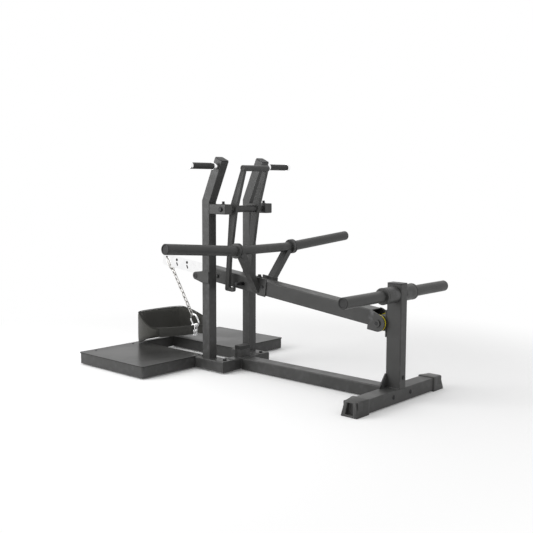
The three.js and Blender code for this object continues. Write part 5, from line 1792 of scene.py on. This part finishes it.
@dataclass
class HipPad:
    """The padded back of the belt with its binding and border seam, in millimetres."""

    route: BeltRoute
    span: Pair = (0.166, 0.764)
    half_thick: float = 4.4
    edge: float = 3.2
    end_steps: float = 6.0
    end_share: float = 0.55
    voxel: float = 4.2
    swell_cap: float = 4.5
    held_border: float = 14.0
    seam_inset: float = 8.5
    seam_depth: float = 1.6
    seam_width: float = 2.2
    thread_rise: float = 0.2
    ray: float = 30.0
    lowest: float = 67.6
    binding_half: Pair = (3.9, 1.8)
    binding_inset: float = 2.8
    finder_steps: int = 400

    def __post_init__(self) -> None:
        """Lays a table along the route, to find the place of a point of the pad."""
        self.rows = [self.route.spot(i / self.finder_steps) for i in range(self.finder_steps + 1)]
        self.tree = KDTree(len(self.rows))
        for index, (point, _, _) in enumerate(self.rows):
            self.tree.insert(point, index)
        self.tree.balance()

    def along(self, count: int) -> list[float]:
        """Even shares over the pad."""
        start, end = self.span
        return [start + (end - start) * i / (count - 1) for i in range(count)]

    def place(self, corner: Vector) -> tuple[float, float, float, float, Vector]:
        """Finds where a point lies on the pad.

        Args:
            corner: The point, in metres.

        Returns:
            How far along the route, up from its middle, outwards and in from the pad's nearest edge it lies,
            and the way out.
        """
        flat = Vector((corner.x, corner.y, 0.0)) / MM
        index = self.tree.find(flat)[1]
        point, way, out = self.rows[index]
        beside = flat - point
        share = index / self.finder_steps + beside.dot(way) / self.route.length
        lift = corner.z / MM - self.route.centre(share)
        ends = min(share - self.span[0], self.span[1] - share) * self.route.length
        inset = min(self.route.height(share) / 2.0 - self.edge - abs(lift), ends)
        return share * self.route.length, lift, beside.dot(out), inset, out

    def build(self, shop: Workshop) -> None:
        """Fills the pad as cloth round foam, then sews its border and binds its edge.

        Args:
            shop: The workshop.
        """
        shares = self.along(150)
        rows = [self.route.spot(share) for share in shares]
        centres = [mm(point.x, point.y, self.route.centre(share)) for share, (point, _, _) in zip(shares, rows)]
        last = len(shares) - 1
        thins = [self.end_share + (1.0 - self.end_share) * ramp(min(i, last - i), 0.0, self.end_steps)
                 for i in range(last + 1)]
        sections = [flat_round(self.half_thick * thin, self.route.height(share) / 2.0 - self.edge, 6)
                    for share, thin in zip(shares, thins)]
        maker = MeshMaker().swept(centres, [out for _, _, out in rows], [UP] * len(rows), sections)
        pad = maker.piece("belt_back_pad", Surface.CLOTH, 180.0)
        self.swell(pad)
        self.sew(pad)
        finished(pad, Surface.CLOTH, "frame", "belt_pad")
        lines, facings = [], []
        for sign in (1.0, -1.0):
            for edge in (1.0, -1.0):
                line, facing = self.border(pad, sign, edge)
                lines.append(line)
                facings.append(facing)
        shop.sewn("pad_border_stitches", lines, facings, "frame")
        self.binding()

    def border(self, pad: Object, sign: float, edge: float) -> tuple[list[Vector], list[Vector]]:
        """Follows the border seam on one side of the pad.

        Args:
            pad: The pad.
            sign: 1 for its outer side, -1 for its inner one.
            edge: 1 for the upper edge, -1 for the lower one.

        Returns:
            The seam's points, in metres, and the ways that they face.
        """
        line, facing = [], []
        for share in self.along(140)[3:-3]:
            point, _, out = self.route.spot(share)
            high = self.route.height(share) / 2.0 - self.edge - self.seam_inset
            inside = mm(point.x, point.y, self.route.centre(share) + edge * high)
            way = out * sign
            ray = self.ray * MM
            hit, place, _, _ = pad.ray_cast(inside + way * ray, -way, distance=ray)
            line.append((place if hit else inside) + way * self.thread_rise * MM)
            facing.append(way)
        return line, facing

    def swell(self, pad: Object) -> None:
        """Remeshes the pad, blows it up as cloth with its border held, and subdivides it.

        Args:
            pad: The pad.
        """
        remesh = pad.modifiers.new("remesh", "REMESH")
        remesh.mode, remesh.voxel_size, remesh.adaptivity = "VOXEL", self.voxel * MM, 0.0
        bake(pad)
        self.fill(pad)
        even = pad.modifiers.new("even", "SMOOTH")
        even.factor, even.iterations = 0.5, 4
        fine = pad.modifiers.new("fine", "SUBSURF")
        fine.levels = fine.render_levels = 1
        bake(pad)

    def fill(self, pad: Object) -> None:
        """Presses the cloth outwards from inside, but for its border.

        Args:
            pad: The pad.
        """
        rest = [vertex.co.copy() for vertex in pad.data.vertices]
        cloth = pad.modifiers.new("foam", "CLOTH")
        settings = cloth.settings
        settings.quality, settings.use_pressure, settings.uniform_pressure_force = 4, True, 4.0
        settings.tension_stiffness = settings.compression_stiffness = 12.0
        settings.bending_stiffness = 1.5
        settings.effector_weights.gravity = 0.0
        cloth.point_cache.frame_start, cloth.point_cache.frame_end = 1, 20
        scene = bpy.context.scene
        for number in range(1, 21):
            scene.frame_set(number)
        bake(pad)
        scene.frame_set(1)
        cap = self.swell_cap * MM
        for vertex, start in zip(pad.data.vertices, rest):
            _, _, _, inset, out = self.place(start)
            move = (vertex.co - start).dot(out) * smooth_step(inset / self.held_border)
            vertex.co = start + out * min(max(move, -cap), cap)

    def sew(self, pad: Object) -> None:
        """Draws the border seam into the skin and lays the cloth's map along the route.

        Args:
            pad: The pad.
        """
        mesh = pad.data
        spans = []
        for vertex in mesh.vertices:
            along, lift, off, inset, out = self.place(vertex.co)
            dent = self.seam_depth * math.exp(-((inset - self.seam_inset) / self.seam_width) ** 2)
            vertex.co = vertex.co - out * math.copysign(min(dent, abs(off)), off) * MM
            vertex.co.z = max(vertex.co.z, self.lowest * MM)
            spans.append((along * MM, lift * MM))
        layer = mesh.uv_layers.get("cloth") or mesh.uv_layers.new(name="cloth")
        for loop in mesh.loops:
            layer.data[loop.index].uv = spans[loop.vertex_index]
        mesh.shade_smooth()
        mesh.materials.clear()
        mesh.materials.append(Surface.CLOTH.material())

    def binding(self) -> None:
        """A narrow tape folded over the pad's upper and lower edges and its ends."""
        shares = self.along(170)
        corners = [self.edge_point(share, 1.0) for share in shares]
        corners += [self.edge_point(share, -1.0) for share in reversed(shares)]
        count = len(corners)
        ways = [(corners[(i + 1) % count][0] - corners[i - 1][0]).normalized() for i in range(count)]
        outs = [out for _, out in corners]
        ups = [way.cross(out).normalized() for way, out in zip(ways, outs)]
        across, high = self.binding_half
        section = [(across * a, high * b) for a, b in arc(1.0, 12)]
        maker = MeshMaker().swept([point for point, _ in corners], outs, ups, [section] * count, looped=True)
        maker.fitted("belt_edge_binding", Surface.BINDING, "frame", crease=180.0)

    def edge_point(self, share: float, sign: float) -> tuple[Vector, Vector]:
        """Finds a point on the pad's edge.

        Args:
            share: How far along the route.
            sign: 1 for the upper edge, -1 for the lower one.

        Returns:
            The point, in metres, and the way out there.
        """
        point, _, out = self.route.spot(share)
        high = self.route.centre(share) + sign * (self.route.height(share) / 2.0 - self.binding_inset)
        return mm(point.x, point.y, high), out


def flat_round(half_thick: float, half_high: float, steps: int) -> list[Pair]:
    """Draws a flat section with full round edges.

    Args:
        half_thick: Half its thickness.
        half_high: Half its height.
        steps: Steps round each edge.

    Returns:
        The section's points.
    """
    return [(sign * b, sign * (half_high - half_thick + a))
            for sign in (1.0, -1.0) for a, b in reversed(arc(half_thick, steps, -90.0, 90.0))]


@dataclass
class Strap:
    """Webbing from the pad's end round the ring's wire and back over the pad, in millimetres.

    Its heading is -1 at the route's start and 1 at its end. Its inner and its outer layer end at shares of the
    route.
    """

    route: BeltRoute
    ring: EndRing
    heading: float
    inner_end: float
    outer_end: float
    half_thick: float = 1.25
    half_high: Pair = (24.0, 25.5)
    loop: float = 5.1
    loop_ends: Pair = (6.0, 30.0)
    turn_back: float = 8.0
    tip_span: float = 0.12
    tip_steps: int = 600
    gap: float = 1.35
    pad_gap: float = 4.9
    pad_reach: Pair = (0.135, 0.169)
    flare: float = 34.0
    step: float = 4.0
    seam_inset: float = 4.5
    thread_rise: float = 0.15
    box_half: float = 16.0
    box_points: int = 9
    line: list[Vector] = field(default_factory=list)
    facing: list[Vector] = field(default_factory=list)
    middles: list[float] = field(default_factory=list)

    def add(self, point: Vector, way: Vector, share: float) -> None:
        """Adds a point of the webbing, the way it faces and its height.

        Args:
            point: The point seen from above.
            way: The way from the strap's inside out.
            share: Where on the route its height is taken.
        """
        self.line.append(point)
        self.facing.append(way)
        self.middles.append(self.route.centre(share))

    def layer(self, near: float, first: float, last: float, sign: float) -> None:
        """Adds one layer.

        Args:
            near: The route's share beside the ring's wire.
            first: The share where the layer starts.
            last: The share where it ends.
            sign: 1 for the outer layer, -1 for the inner one.
        """
        tip = 0.0 if self.heading < 0 else 1.0
        steps = max(4, int(abs(last - first) * self.route.length / self.step))
        for i in range(steps + 1):
            share = first + (last - first) * i / steps
            point, _, out = self.route.spot(share)
            away = abs(share - near) * self.route.length
            gap = self.loop + (self.gap - self.loop) * ramp(away, *self.loop_ends)
            if sign > 0:
                gap += self.pad_gap * ramp(abs(share - tip), *self.pad_reach)
            self.add(point + out * gap * sign, out * sign, share)

    def build(self, shop: Workshop) -> None:
        """Lays the two layers and the loop between them, and sews them.

        Args:
            shop: The workshop.
        """
        wire = self.ring.place()
        tip = 0.0 if self.heading < 0 else 1.0
        shares = [i / self.tip_steps for i in range(self.tip_steps + 1)]
        near = min((share for share in shares if abs(share - tip) < self.tip_span),
                   key=lambda share: (self.route.spot(share)[0] - wire).length)
        turn = near - self.heading * self.turn_back / self.route.length
        self.layer(near, self.inner_end, turn, -1.0)
        _, way, out = self.route.spot(near)
        for a, b in arc(1.0, 10, -90.0, 90.0):
            arrow = way * self.heading * a + out * b
            self.add(wire + arrow * self.loop, arrow, near)
        self.layer(near, turn, self.outer_end, 1.0)
        low, high = self.half_high
        highs = [low + (high - low) * ramp((point - wire).length, 0.0, self.flare) for point in self.line]
        centres = [mm(point.x, point.y, middle) for point, middle in zip(self.line, self.middles)]
        rights = self.rights()
        maker = MeshMaker().swept(centres, rights, [UP] * len(centres),
                                  [flat_round(self.half_thick, half, 4) for half in highs])
        node = "belt_strap_" + self.ring.hand
        maker.fitted(node + "_webbing", Surface.WEBBING, "frame", node, crease=50.0)
        self.sew(shop, node, centres, rights, highs)

    def rights(self) -> list[Vector]:
        """Turns each point's way out square to the line.

        Returns:
            The ways.
        """
        ways = []
        for i, facing in enumerate(self.facing):
            step = self.line[min(i + 1, len(self.line) - 1)] - self.line[max(i - 1, 0)]
            level = Vector((step.y, -step.x, 0.0)).normalized()
            ways.append(level if level.dot(facing) > 0 else -level)
        return ways

    def sew(self, shop: Workshop, node: str, centres: Sequence[Vector], rights: Sequence[Vector],
            highs: Sequence[float]) -> None:
        """Sews both edges, and a crossed box where the outer layer ends.

        Args:
            shop: The workshop.
            node: The strap's name.
            centres: The webbing's points, in metres.
            rights: The ways out.
            highs: Half its height at each point.
        """
        lift = (self.half_thick + self.thread_rise) * MM
        rows = [(centre + right * lift, right, (high - self.seam_inset) * MM)
                for centre, right, high in zip(centres, rights, highs)]
        lines = [[point + UP * edge * high for point, _, high in rows] for edge in (1.0, -1.0)]
        facings = [list(rights), list(rights)]
        tail, box = rows[-self.box_points:], self.box_half * MM
        for start, end in ((1.0, 1.0), (-1.0, -1.0), (1.0, -1.0), (-1.0, 1.0)):
            lines.append([point + UP * (start + (end - start) * i / (len(tail) - 1)) * box
                          for i, (point, _, _) in enumerate(tail)])
            facings.append([right for _, right, _ in tail])
        for point, right, _ in (tail[0], tail[-1]):
            lines.append([point + UP * height * box for height in (-1.0, -0.3125, 0.3125, 1.0)])
            facings.append([right] * 4)
        shop.sewn(node + "_stitches", lines, facings, "frame")


class HipBelt:
    """The padded back, the two looped straps and the end rings."""

    def __init__(self) -> None:
        """Hangs the rings and lays the route between them."""
        self.near = EndRing("right", hang=-55.0, turn=50.0, middle=150.2)
        self.far = EndRing("left", hang=8.0, turn=-101.0, middle=156.2)
        self.route = BeltRoute(self.near, self.far)

    def build(self, shop: Workshop) -> None:
        """Makes the pad, the straps and the rings.

        Args:
            shop: The workshop.
        """
        HipPad(self.route).build(shop)
        Strap(self.route, self.near, -1.0, 0.172, 0.212).build(shop)
        Strap(self.route, self.far, 1.0, 0.758, 0.718).build(shop)
        self.near.build()
        self.far.build()


def main() -> None:
    """Builds the machine's looks in order."""
    logging.basicConfig(level=logging.INFO, format="%(name)s: %(message)s")
    Studio().build()
    CarriedNodes().build()
    shop = Workshop()
    for assembly in (WeldedFrame(), Platform(), LeverArm(), ChainAndHooks(), HipBelt()):
        assembly.build(shop)


if __name__ == "__main__":
    main()
